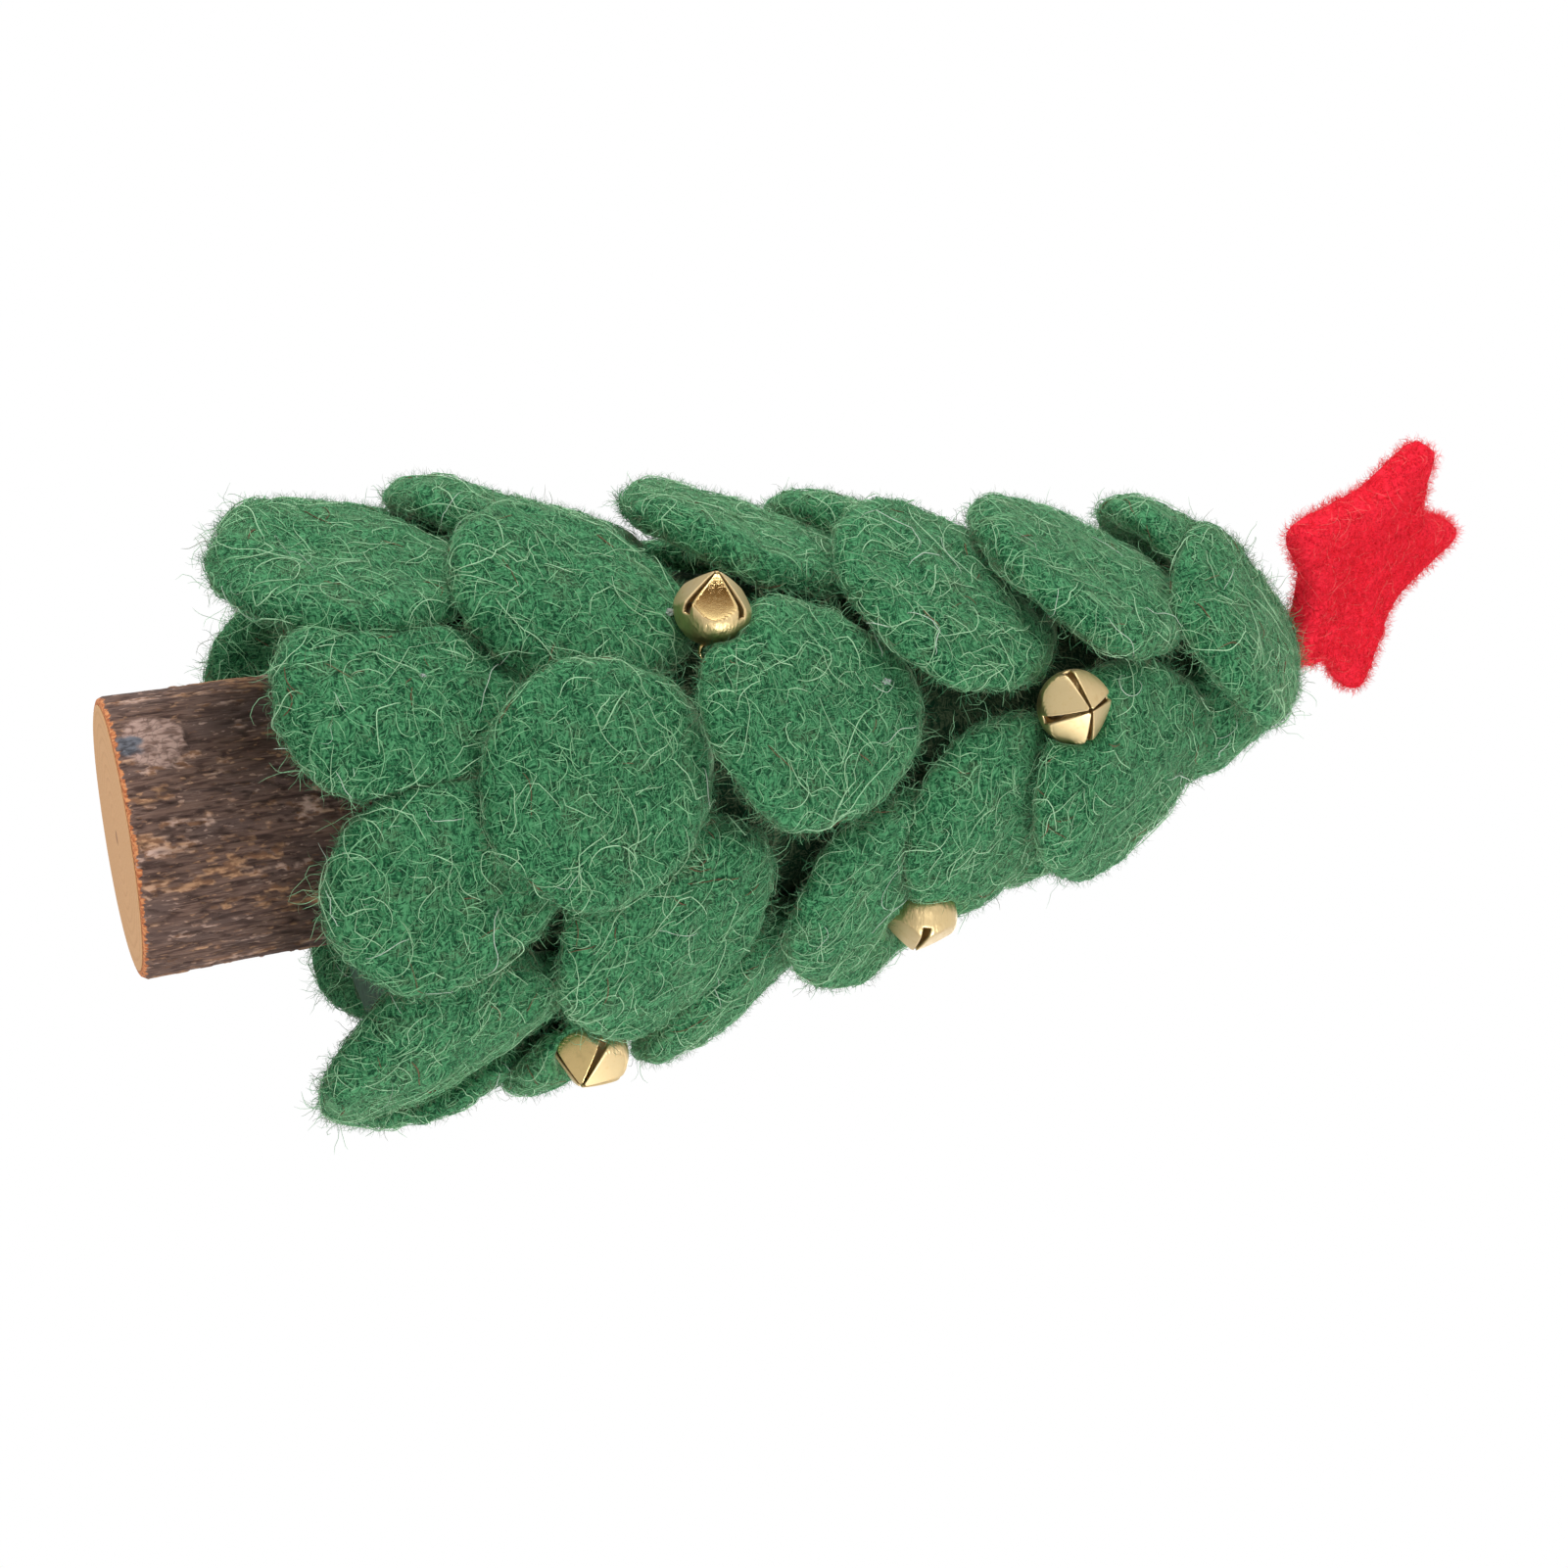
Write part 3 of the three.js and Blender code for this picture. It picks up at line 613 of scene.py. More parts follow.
def open_seeds(seeds, surface):
    """Those seeds that can be seen: a ray runs clear of the surface straight out, or away from the trunk."""
    place, normal, owner = seeds
    outward = outward_of(place) + 0.5 * normal
    starts = place + normal * seed_lift
    keep = [
        surface.ray_cast(Vector(p), Vector(n), open_reach)[0] is None
        or surface.ray_cast(Vector(p), Vector(o), 2 * open_reach)[0] is None
        for p, n, o in zip(starts.tolist(), normal.tolist(), outward.tolist())
    ]
    return only(seeds, np.array(keep))


def only(seeds, chosen):
    """The chosen seeds."""
    return tuple(part[chosen] for part in seeds)


def on_rim(seeds):
    """Whether each seed is on a rim, where the felt faces neither away from the tree nor towards it."""
    return np.abs((seeds[1] * outward_of(seeds[0])).sum(axis=1)) < rim_turn


def at_hem(seeds):
    """Whether each seed is on the lower hem of a petal of the first row."""
    first_row = np.array([name.startswith("petal_row1") for name in petal_nodes] + [False])
    low = seeds[0][:, 2] < cone_foot - hem_reach
    return first_row[seeds[2]] & low & (seeds[1][:, 2] < hem_facing)


def petal_seeds(per_mm2, wanted=None):
    """Seeds that can be seen on the petals, which come before the wrap in the felt. Where there is a test
    for the wanted ones, only those."""
    seeds = seeds_on(*felt, per_mm2)
    keep = seeds[2] < len(petal_nodes)
    if wanted:
        keep = keep & wanted(seeds)
    return open_seeds(only(seeds, keep), felt_surface)


def total_of(kinds):
    return sum(kind[2] for kind in kinds)


def shared_out(seeds, kinds):
    """Gives each kind and its seeds: they are shared out at random by the third column of the table."""
    lot = rng.random(len(seeds[0])) * total_of(kinds)
    for kind in kinds:
        yield kind, only(seeds, (lot >= 0) & (lot < kind[2]))
        lot -= kind[2]


def short_paths(seeds, length, heights, curl, surface=None):
    """Paths that run along the felt from each seed, at the given heights over it. More of them run up and
    down the tree than round it. With a surface, they follow it over its edges."""
    place, normal, _ = seeds
    count, steps = len(place), len(heights)
    helper = np.where(np.abs(normal[:, 2:]) < 0.9, [[0, 0, 1]], [[1, 0, 0]])
    east = np.cross(helper, normal)
    east = unit(east)
    north = np.cross(normal, east)
    reach = length[0] + (length[1] - length[0]) * rng.random(count) ** 1.6
    angle = np.pi * (0.5 + rng.integers(0, 2, count)) + rng.normal(0, grain_spread, count)
    turn = rng.normal(0, curl, count)
    rise = 0.5 + rng.random(count)
    paths = [place + normal * heights[0]]
    here = place.copy()
    for step in range(1, steps):
        angle = angle + turn + rng.normal(0, curl * 0.5, count)
        ahead = np.cos(angle)[:, None] * east + np.sin(angle)[:, None] * north
        here = here + ahead * (reach / (steps - 1))[:, None]
        if surface is None:
            paths.append(here + normal * (heights[step] * rise)[:, None])
            continue
        lifted = []
        for spot, height in zip(here.tolist(), (heights[step] * rise).tolist()):
            near, facing, _, _ = surface.find_nearest(Vector(spot))
            lifted.append(near + facing * height)
        paths.append(np.array(lifted, float).reshape(-1, 3))
    return np.stack(paths, 1)


def long_paths(seeds, length, points, surface, height, curl, kink):
    """Paths that wander over the felt and bridge its dips. They all have as many points."""
    place, normal, _ = seeds
    paths = []
    for start, up in zip(place.tolist(), normal.tolist()):
        here, up = Vector(start), Vector(up)
        ahead = (Vector((0, 0, rng.choice([-1, 1]))) + up * 0.01).cross(up).cross(up)
        ahead = ahead.normalized() if ahead.length > 0.1 else up.orthogonal()
        ahead.rotate(Matrix.Rotation(rng.normal(0, grain_spread), 3, up))
        pace = (length[0] + (length[1] - length[0]) * rng.random() ** 2) / (points - 1)
        bend = rng.normal(0, curl)
        lift = height * (0.3 + 1.2 * rng.random())
        path = [here - up * height]
        for _ in range(points - 2):
            bend = 0.8 * bend + rng.normal(0, 0.6 * curl)
            turn = bend * pace / mm
            if rng.random() < kink:
                turn += rng.normal(0, 0.7)
            ahead.rotate(Matrix.Rotation(turn, 3, up))
            here = here + ahead * pace
            near, normal_near, _, away = surface.find_nearest(here)
            hold = 0.75 if away < strand_near else 0.2
            here = here.lerp(near + normal_near * lift, hold)
            up = up.lerp(normal_near, 0.4).normalized()
            ahead = (ahead - up * ahead.dot(up)).normalized()
            path.append(here.copy())
        path.append(here + ahead * pace - up * (lift + height))
        paths.append(path)
    return np.array(paths, float)


def free_paths(seeds, length, points, way, spread, curl):
    """Paths that leave the surface, roughly the given way, and curl as they go, by so much a millimetre."""
    place, normal, _ = seeds
    count = len(place)
    pace = (length[0] + (length[1] - length[0]) * rng.random((count, 1)) ** 1.5) / (points - 1)
    ahead = normal * 0.3 + np.array(way) + rng.normal(0, spread, (count, 3))
    bend = rng.normal(0, curl, (count, 3))
    paths = [place - normal * hair_root]
    here = place
    for _ in range(points - 1):
        bend = 0.7 * bend + rng.normal(0, 0.7 * curl, (count, 3))
        ahead = ahead + np.cross(bend, ahead) * pace / mm
        ahead = unit(ahead)
        here = here + ahead * pace
        paths.append(here)
    return np.stack(paths, 1)


def eased(paths):
    """Paths with their kinks eased."""
    paths[:, 1:-1] = (paths[:, :-2] + 2 * paths[:, 1:-1] + paths[:, 2:]) / 4
    return paths


def tubes(name, paths, radius):
    """Thin closed tubes of three sides along the paths, narrowing to their ends."""
    count, steps, _ = paths.shape
    ahead = unit(np.gradient(paths, axis=1), tiny_length)
    helper = np.array([0.31, 0.52, 0.79])
    side = unit(np.cross(ahead, helper), tiny_length)
    up = np.cross(side, ahead)
    along = np.linspace(0, 1, steps)
    taper = 0.35 + 0.65 * np.sin(np.pi * along) ** 0.5
    size = radius * (0.7 + 0.6 * rng.random((count, 1))) * taper
    rings = []
    for corner in range(3):
        angle = corner * 2 * math.pi / 3
        offset = math.cos(angle) * side + math.sin(angle) * up
        rings.append(paths + offset * size[:, :, None])
    points = np.stack(rings, 2).reshape(-1, 3)
    first = np.arange(count)[:, None, None] * steps * 3
    ring = np.arange(steps - 1)[None, :, None] * 3
    corner = np.arange(3)[None, None, :]
    following = (corner + 1) % 3
    a, b = first + ring + corner, first + ring + following
    quads = np.stack([a, b, b + 3, a + 3], -1).reshape(-1, 4)
    start = first[:, 0, 0][:, None] + np.array([[2, 1, 0]])
    end = first[:, 0, 0][:, None] + (steps - 1) * 3 + np.array([[0, 1, 2]])
    return mesh_of(name, points, quads, np.concatenate([start, end]))


def add_fibres(name, paths, radius, colour):
    """Many fibres in one colour, shared out over as many pieces as their triangles need. Those that would
    run into a bell are left out."""
    away = np.linalg.norm(paths[:, :, None] - bell_centres, axis=3)
    paths = paths[(away > bell_radius + bell_clear).all(axis=(1, 2))]
    each = 6 * (paths.shape[1] - 1) + 2
    pieces = math.ceil(len(paths) * each / piece_triangles)
    for number, part in enumerate(np.array_split(paths, pieces), start=1):
        title = f"{name}_{number}"
        add_piece(title, tubes(title, part, radius), fibre_colours[colour], "tree")


# Bark, sawn wood and foam

def branch_share(turn):
    """How far the branch reaches at each angle, as a share of its radius."""
    share = np.ones_like(turn)
    for count, at, press in branch_lobes:
        share -= press * np.cos(count * (turn - math.radians(at)) / 2) ** 2
    return share


def around(radius, height):
    """Rows of points round +Z: radius and height have a row for each ring."""
    turn = full_turn(bark_columns)
    radius, height = np.broadcast_arrays(radius * branch_share(turn)[None, :], height)
    return np.stack([radius * np.cos(turn), radius * np.sin(turn), height], -1)


def bark_noise(points, name):
    size, along, seed = bark_noises[name]
    return roughly(points / [1, 1, along], size, seed)


def spot_away(plain, bearing, height, radius):
    """How far each point is from the middle of a spot on the bark, as a share of the spot's radius."""
    turn = np.degrees(np.arctan2(plain[:, 0], -plain[:, 1]))
    across = np.radians(turn - bearing) * trunk_high.x
    return np.hypot(across, plain[:, 2] - height) / radius


def bark_masks(plain):
    """Where the bark has flakes, the scar of a side branch, a bruise and fissures, each from 0 to 1."""
    flaking = sum(share * bark_noise(plain, name) for name, share in flake_shares.items())
    flake = np.clip((flaking - 0.34) / 0.12, 0, 1)
    knot_away = spot_away(plain, *knot_spot) + 0.14 * bark_noise(plain, "knot")
    knot = np.clip((1.0 - knot_away) / 0.1, 0, 1)
    bruise_away = spot_away(plain, *bruise_spot)
    bruise = np.clip((1.0 - bruise_away - 0.4 * bark_noise(plain, "bruise")) / 0.25, 0, 1)
    cracks = np.clip(1 - np.abs(bark_noise(plain, "fissure")) / 0.16, 0, 1) * (1 - knot)
    return {"flake": flake * (1 - knot), "knot": knot, "bruise": bruise, "fissure": cracks}


def bark_mesh():
    """The bark: a tube with long fissures, raised flakes and the scar of a side branch."""
    widest = branch_share(np.zeros(1))[0]
    radius = trunk_high.x / widest
    inside = log_high.x / widest + bark_gap
    heights = np.arange(trunk_low.z + bark_foot, cone_foot + bark_over, bark_step)
    heights = np.concatenate([heights, [trunk_high.z]])
    plain = around(np.full((len(heights), 1), radius), heights[:, None]).reshape(-1, 3)
    masks = bark_masks(plain)
    knot = masks["knot"]
    lift = bark_lifts["grain"] * bark_noise(plain, "grain") - bark_lifts["fissure"] * masks["fissure"]
    lift += bark_lifts["flake"] * masks["flake"] + bark_lifts["swell"] * bark_noise(plain, "swell")
    lift = lift * (1 - knot) + knot * bark_lifts["scar"] * bark_noise(plain, "scar")
    rim = knot * (1 - knot) * 4
    lift += bark_lifts["rim"] * rim + foot_flare * (1 - plain[:, 2] / cone_foot)
    hidden = plain[:, 2] > cone_foot - bark_tuck
    lift = np.where(hidden, np.minimum(lift, 0), lift)
    outer = plain + outward_of(plain) * lift[:, None]
    outside = radius + foot_flare
    near, middle, far = lip_steps
    radii = np.array([inside, inside, inside + near, outside - middle, outside - far])
    levels = np.array([trunk_high.z, *lip_levels])
    inner = around(radii[:, None], levels[:, None]).reshape(-1, 3)
    worn = np.repeat([0, 0, 1, 1, 1], bark_columns)
    inner[:, 2] += worn * lip_wear * np.abs(bark_noise(inner, "lip"))
    points = np.concatenate([inner, outer])
    rows = len(points) // bark_columns
    column, after = neighbours(bark_columns)
    last = (rows - 1) * bark_columns
    lid = np.stack([last + column, last + after, after, column], -1)
    mesh = mesh_of("trunk_bark_rough", points, np.concatenate([grid_faces(rows, bark_columns), lid]))
    for name, values in masks.items():
        set_mask(mesh, name, np.concatenate([np.zeros(len(inner)), values]))
    return mesh


def bark_material():
    nodes = Nodes("bark")
    shades = bark_shades
    grain, tone, speck, scratch, fleck = (
        nodes.noise(size, detail, (1, 1, along)) for size, detail, along in bark_textures
    )
    dark = nodes.blend(grain, 0.34, 0.62, shades["deep"], shades["brown"])
    dark = nodes.blend(tone, 0.42, 0.66, dark, shades["grey"])
    dark = nodes.blend(scratch, 0.56, 0.66, dark, shades["scratch"], most=0.5)
    tan = nodes.blend(tone, 0.44, 0.58, shades["tan"], shades["pale"])
    tan = nodes.blend(speck, 0.40, 0.58, shades["speck"], tan)
    flecks = nodes.ramp(fleck, 0.58, 0.66, 0.7)
    colour = nodes.mix(nodes.math("MAXIMUM", nodes.mask("flake"), flecks), dark, tan)
    scar = nodes.blend(speck, 0.36, 0.58, shades["scar_dark"], shades["scar"])
    swirl = nodes.math("SUBTRACT", nodes.noise(swirl_size, detail=1, distort=1.0), 0.5)
    scar = nodes.blend(nodes.math("ABSOLUTE", swirl), 0.04, 0.01, scar, shades["swirl"], most=0.45)
    colour = nodes.mix(nodes.mask("knot"), colour, scar)
    stain = nodes.blend(speck, 0.40, 0.60, shades["stain_dark"], shades["stain"])
    colour = nodes.mix(nodes.mask("bruise"), colour, stain)
    # Painted shade: the bark darkens almost to black along its fissures, standing in for the shade in the
    # cracks
    colour = nodes.mix(nodes.times(nodes.mask("fissure"), 0.75), colour, shades["fissure"])
    level = nodes.add("ShaderNodeSeparateXYZ", "Z", {"Vector": nodes.place})
    height = nodes.math("ADD", level, nodes.times(nodes.math("SUBTRACT", speck, 0.5), edge_ragged))
    edge = nodes.blend(grain, 0.4, 0.6, shades["edge_dark"], shades["edge"])
    colour = nodes.blend(height, *edge_span, colour, edge)
    normal = nodes.bump(grain, bark_bump, 0.6)
    return nodes.finished(Base_Color=colour, Normal=normal, Roughness=0.85, Specular_IOR_Level=0.25)


def log_mesh():
    """The log: a sawn foot with faint saw marks, its side and a plain top."""
    inner = log_high.x / branch_share(np.zeros(1))[0] + log_fill
    radius = inner + sawn_rim
    flat_share = log_edge_shares[0]
    shares = np.concatenate([np.linspace(log_least_share, flat_share, log_rings), log_edge_shares[1:]])
    foot = around(shares[:, None] * radius, np.zeros((len(shares), 1)))
    marks = np.abs(saw_mark_height * np.sin(foot[:, :, 0] / saw_mark_wave))
    foot[:, :, 2] = marks * (shares[:, None] < flat_share)
    foot[-1, :, 2] = log_rim_level
    top_shares = np.array([[1.0], [1.0], [0.5], [log_least_share]])
    top_levels = np.array([[log_side_level], [log_high.z], [log_high.z], [log_high.z]])
    points = np.concatenate([foot, around(top_shares * inner, top_levels)]).reshape(-1, 3)
    faces = grid_faces(len(points) // bark_columns, bark_columns)
    middle = len(points)
    points = np.concatenate([points, [[0, 0, log_middle_level], [0, 0, log_high.z]]])
    ring, after = neighbours(bark_columns)
    last = middle - bark_columns
    ends = np.concatenate([fan(after, ring, middle), fan(last + ring, last + after, middle + 1)])
    return mesh_of("trunk_log_sawn", points, faces, ends)


def wood_material():
    nodes = Nodes("sawn_wood")
    flat = nodes.add("ShaderNodeVectorMath", "Vector", {0: nodes.place, 1: (1, 1, 0)}, operation="MULTIPLY")
    away = nodes.add("ShaderNodeVectorMath", "Value", {0: flat}, operation="LENGTH")
    wobble = nodes.times(nodes.noise(wobble_size, detail=2), wobble_reach)
    rings = nodes.math("FRACT", nodes.math("DIVIDE", nodes.math("ADD", away, wobble), ring_width))
    fine = nodes.noise(wood_grain, detail=3)
    colour = nodes.blend(rings, 0.55, 1.0, wood_pale, wood_dark)
    colour = nodes.blend(fine, 0.4, 0.75, colour, wood_bright)
    colour = nodes.blend(away, *pith_span, colour, wood_pith)
    normal = nodes.bump(fine, wood_bump, 0.5)
    return nodes.finished(Base_Color=colour, Normal=normal, Roughness=0.7, Specular_IOR_Level=0.3)


def foam_material():
    nodes = Nodes("foam")
    cells = nodes.noise(foam_cell)
    colour = nodes.blend(cells, 0.4, 0.6, foam_dark, foam_green)
    return nodes.finished(Base_Color=colour, Normal=nodes.bump(cells, foam_bump, 0.6), Roughness=0.95)


# Bells

def bell_radii(ways, thinner):
    """How far the bell's surface is in each direction: a ball pressed into four bent panels round +Z."""
    tilt = math.radians(bell_panel_tilt)
    bend = bell_panel_bend - thinner
    set_back = math.sqrt(bell_panel_bend ** 2 - (bell_radius * math.sin(tilt)) ** 2)
    set_back -= bell_radius * math.cos(tilt)
    total = np.full(len(ways), (bell_radius - thinner) ** -bell_softness)
    for panel in range(bell_panels):
        bearing = (panel + 0.5) * quarter_turn
        flat = np.array([math.cos(bearing), math.sin(bearing), 0])
        facing = ways @ (math.sin(tilt) * flat + [0, 0, math.cos(tilt)])
        along = ways @ (math.cos(tilt) * flat - [0, 0, math.sin(tilt)])
        spread = facing ** 2 + along ** 2 + tiny_spread
        root = np.sqrt((facing * set_back) ** 2 + spread * (bend ** 2 - set_back ** 2))
        total += ((root - facing * set_back) / spread) ** -bell_softness
    return total ** (-1 / bell_softness)


def bell_grid(thinner):
    """The bell's points in rows from the pole down. Down to the slots' feet each row has four stretches,
    one for each panel, with a slot between."""
    tip = math.asin(bell_hole / bell_radius)
    foot = math.acos(bell_slot_foot / bell_radius)
    above = np.linspace(tip, foot, bell_rows_above)
    above = np.insert(above, [1, bell_rows_above - 1], [tip + bell_edge_turn, foot - bell_edge_turn])
    below = np.linspace(foot + bell_edge_turn, bell_last_tilt, bell_rows_below)
    polar = np.concatenate([above, below])
    reach = bell_radius * np.sin(np.minimum(polar, foot))
    half_slot = bell_slot_tip + (bell_slot_end - bell_slot_tip) * reach / bell_radius
    edge = np.arcsin(np.minimum(half_slot / reach, bell_slot_most))[:, None]
    stretch = bell_column_shares * (quarter_turn - 2 * edge)
    turn = np.concatenate([panel * quarter_turn + edge + stretch for panel in range(bell_panels)], 1)
    ways = ways_of(polar[:, None], turn)
    radii = bell_radii(ways.reshape(-1, 3), thinner).reshape(turn.shape)
    across = len(bell_column_shares)
    if not thinner:
        ends = np.isin(np.arange(turn.shape[1]) % across, [0, across - 1])
        radii[:len(above), ends] -= bell_rim
        radii[0] -= bell_rim
    return ways * radii[..., None], len(above), across


def bell_mesh():
    """One bell's shell about its own centre, its four panels parted by slots that cross near +Z.
    Gives its points, faces and, for each point, the number of its panel or -1 on the dome."""
    outer, slot_rows, across = bell_grid(0)
    inner, _, _ = bell_grid(bell_wall)
    rows, columns = outer.shape[:2]
    count = rows * columns
    number = np.arange(count).reshape(rows, columns)
    after = np.roll(number, -1, axis=1)
    joined = np.ones((rows - 1, columns), bool)
    joined[:slot_rows - 1, across - 1::across] = False
    skin = np.stack([number[:-1], number[1:], after[1:], after[:-1]], -1)[joined]
    first, last = number[:, ::across], number[:, across - 1::across]
    sides = []
    for line, order in ((first, (0, 2, 3, 1)), (last, (0, 1, 3, 2))):
        a, b = line[:slot_rows - 1].ravel(), line[1:slot_rows].ravel()
        corners = np.stack([a, b, a + count, b + count], -1)
        sides.append(corners[:, order])
    tips = np.stack([number[0], after[0], after[0] + count, number[0] + count], -1)
    keep = np.ones(columns, bool)
    keep[across - 1::across] = False
    feet = np.stack([last[slot_rows - 1], np.roll(first[slot_rows - 1], -1)], -1)
    feet = np.concatenate([feet, feet[:, ::-1] + count], 1)
    south = np.array([2 * count, 2 * count + 1])
    low, low_after = number[-1], after[-1]
    caps = np.concatenate([
        np.stack([low, np.full(columns, south[0]), low_after], -1),
        np.stack([low_after + count, np.full(columns, south[1]), low + count], -1),
    ])
    points = np.concatenate([
        outer.reshape(-1, 3), inner.reshape(-1, 3), [[0, 0, -bell_radius], [0, 0, bell_wall - bell_radius]],
    ])
    quads = np.concatenate([skin, skin[:, ::-1] + count, *sides, tips[keep], feet])
    away = np.linalg.norm(points, axis=1)
    quarter = np.degrees(np.arctan2(points[:, 1], points[:, 0])) % 360 // 90
    pressed = (points[:, 2] > 0) & (away < bell_radius - bell_pressed)
    return points, quads, caps, np.where(pressed, quarter, -1).astype(int)


def loop_mesh():
    """The wire loop on the bell's back, a ring in the plane through the pole."""
    sides, steps = 10, 32
    turn = full_turn(steps)[:, None]
    section = full_turn(sides)[None, :]
    reach = bell_loop_radius + bell_loop_wire * np.cos(section)
    height = -bell_radius - bell_loop_radius + bell_loop_wire
    points = np.stack([
        reach * np.cos(turn),
        np.broadcast_to(bell_loop_wire * np.sin(section), (steps, sides)),
        height + reach * np.sin(turn),
    ], -1).reshape(-1, 3)
    number = np.arange(steps * sides).reshape(steps, sides)
    ahead, after = np.roll(number, -1, axis=0), np.roll(number, -1, axis=1)
    faces = np.stack([number, after, np.roll(ahead, -1, axis=1), ahead], -1)
    return points, faces.reshape(-1, 4)


def bell_pose(joint, spin):
    """Where a bell's own frame lies: its centre and the direction of its pole."""
    pole = Vector(joint["axis"]).normalized()
    east = Vector((0, 0, 1)).cross(pole).normalized()
    up = pole.cross(east)
    basis = Matrix((east, up, pole)).transposed().to_4x4()
    return Matrix.Translation(joint["pos_m"]) @ basis @ Matrix.Rotation(-math.radians(spin), 4, "Z")


def brass_material():
    """Thin brass: some panels are polished, the others are dull and brushed, and the dome is ridged."""
    nodes = Nodes("bell_brass")
    dull = nodes.mask("dull")
    brushed = nodes.noise(brush_width, detail=2, stretch=(1, 1, 30))
    ridges = nodes.noise(ridge_size, detail=2, stretch=(1.8, 1, 0.7))
    scuff = nodes.noise(scuff_size, detail=4)
    rough = nodes.math("ADD", nodes.times(dull, 0.36), 0.07)
    rough = nodes.math("ADD", rough, nodes.ramp(scuff, 0.35, 0.7, 0.08))
    colour = nodes.mix(dull, brass_bright, brass_dull)
    colour = nodes.blend(scuff, 0.5, 0.75, colour, brass_worn, most=0.35)
    lines = nodes.bump(brushed, brush_bump, 0.7)
    dome = nodes.times(ridges, nodes.mask("dome"))
    normal = nodes.bump(dome, ridge_bump, 0.6, Normal=lines)
    return nodes.finished(Base_Color=colour, Normal=normal, Roughness=rough, Metallic=1.0)


def add_bells():
    points, quads, caps, panel = bell_mesh()
    ring_points, ring_faces = loop_mesh()
    all_points = np.concatenate([points, ring_points])
    all_quads = np.concatenate([quads, ring_faces + len(points)])
    brass = brass_material()
    steel = Nodes("pellet_steel").finished(Base_Color=steel_grey, Metallic=1.0, Roughness=0.3)
    joints = {joint["child"]: joint for joint in frame["joints"]}
    for number, spin in enumerate(bell_spins, start=1):
        mesh = mesh_of(f"bell_{number}_brass", all_points, all_quads, caps)
        dullness = np.array([*bell_dullness[number], dome_dullness])
        set_mask(mesh, "dull", np.concatenate([dullness[panel], np.zeros(len(ring_points))]))
        set_mask(mesh, "dome", np.concatenate([panel < 0, np.zeros(len(ring_points))]))
        mesh.transform(bell_pose(joints[f"pellet_{number}"], spin))
        add_piece(mesh.name, mesh, brass, "tree", [f"bell_{number}_shell"])
        low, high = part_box(f"bell_{number}_pellet")
        add_pellet(number, (low + high) / 2, (high.z - low.z) / 2, steel)


def add_pellet(number, centre, radius, steel):
    columns, rows = 32, 16
    tilt = np.linspace(0, np.pi, rows + 1)[1:-1, None]
    ways = ways_of(tilt, full_turn(columns)[None, :])
    points = np.concatenate([ways.reshape(-1, 3), [[0, 0, 1], [0, 0, -1]]]) * radius + np.array(centre)
    faces = grid_faces(rows - 1, columns)[:, ::-1]
    ring, after = neighbours(columns)
    last = (rows - 2) * columns
    top, bottom = len(points) - 2, len(points) - 1
    ends = np.concatenate([fan(ring, after, top), fan(last + after, last + ring, bottom)])
    mesh = mesh_of(f"bell_{number}_ball", points, faces, ends)
    add_piece(mesh.name, mesh, steel, f"pellet_{number}", [f"bell_{number}_pellet"])


# Glue

def pixel_ray(pixel):
    """The direction from the camera through a pixel of the photograph."""
    reach = photo_width / camera_sensor * camera_lens
    right, up, back = (Vector(way) for way in (camera_right, camera_up, camera_back))
    x, y = (pixel[0] - photo_width / 2) / reach, (photo_width / 2 - pixel[1]) / reach
    return (x * right + y * up - back).normalized()


def add_glue(surface):
    """Specks of clear glue that show at the petals' edges and beside a bell."""
    nodes = Nodes("glue")
    tint = nodes.blend(nodes.noise(glue_haze), 0.35, 0.65, glue_dim, glue_clear)
    material = nodes.finished(Base_Color=tint, Roughness=0.25, Transmission_Weight=0.6, IOR=1.45)
    for number, (pixel, size) in enumerate(glue_specks, start=1):
        way = pixel_ray(pixel)
        place, normal, _, _ = surface.ray_cast(camera_place, way)
        if place is None:
            continue
        shape = bmesh.new()
        bmesh.ops.create_icosphere(shape, subdivisions=4, radius=size)
        for point in shape.verts:
            lump = noise.noise(point.co / (glue_lump_share * size) + Vector((3.7 * number, 0, 0)))
            point.co *= 1 + glue_swell_share * lump
            point.co.x *= glue_wide_share
            point.co.z *= glue_tall_share
        mesh = bpy.data.meshes.new(f"glue_speck_{number}")
        shape.to_mesh(mesh)
        shape.free()
        turn = normal.to_track_quat("Z", "Y").to_matrix().to_4x4()
        mesh.transform(Matrix.Translation(place + normal * glue_raise_share * size) @ turn)
        mesh.shade_smooth()
        add_piece(mesh.name, mesh, material, "tree")


# Stage

def add_camera():
    data = bpy.data.cameras.new("camera")
    data.lens = camera_lens
    data.sensor_width = camera_sensor
    data.clip_start = camera_clip
    camera = bpy.data.objects.new("camera", data)
    axes = Matrix((camera_right, camera_up, camera_back)).transposed().to_4x4()
    camera.matrix_world = Matrix.Translation(camera_place) @ axes
    scene.collection.objects.link(camera)
    scene.camera = camera


def add_lamp(name, place, size, watts):
    data = bpy.data.lights.new(name, "AREA")
    data.shape = "DISK"
    data.size = size
    data.energy = watts
    lamp = bpy.data.objects.new(name, data)
    lamp.location = place
    middle = (cad_low + cad_high) / 2
    lamp.rotation_mode = "QUATERNION"
    lamp.rotation_quaternion = (Vector(place) - middle).to_track_quat("Z", "Y")
    scene.collection.objects.link(lamp)


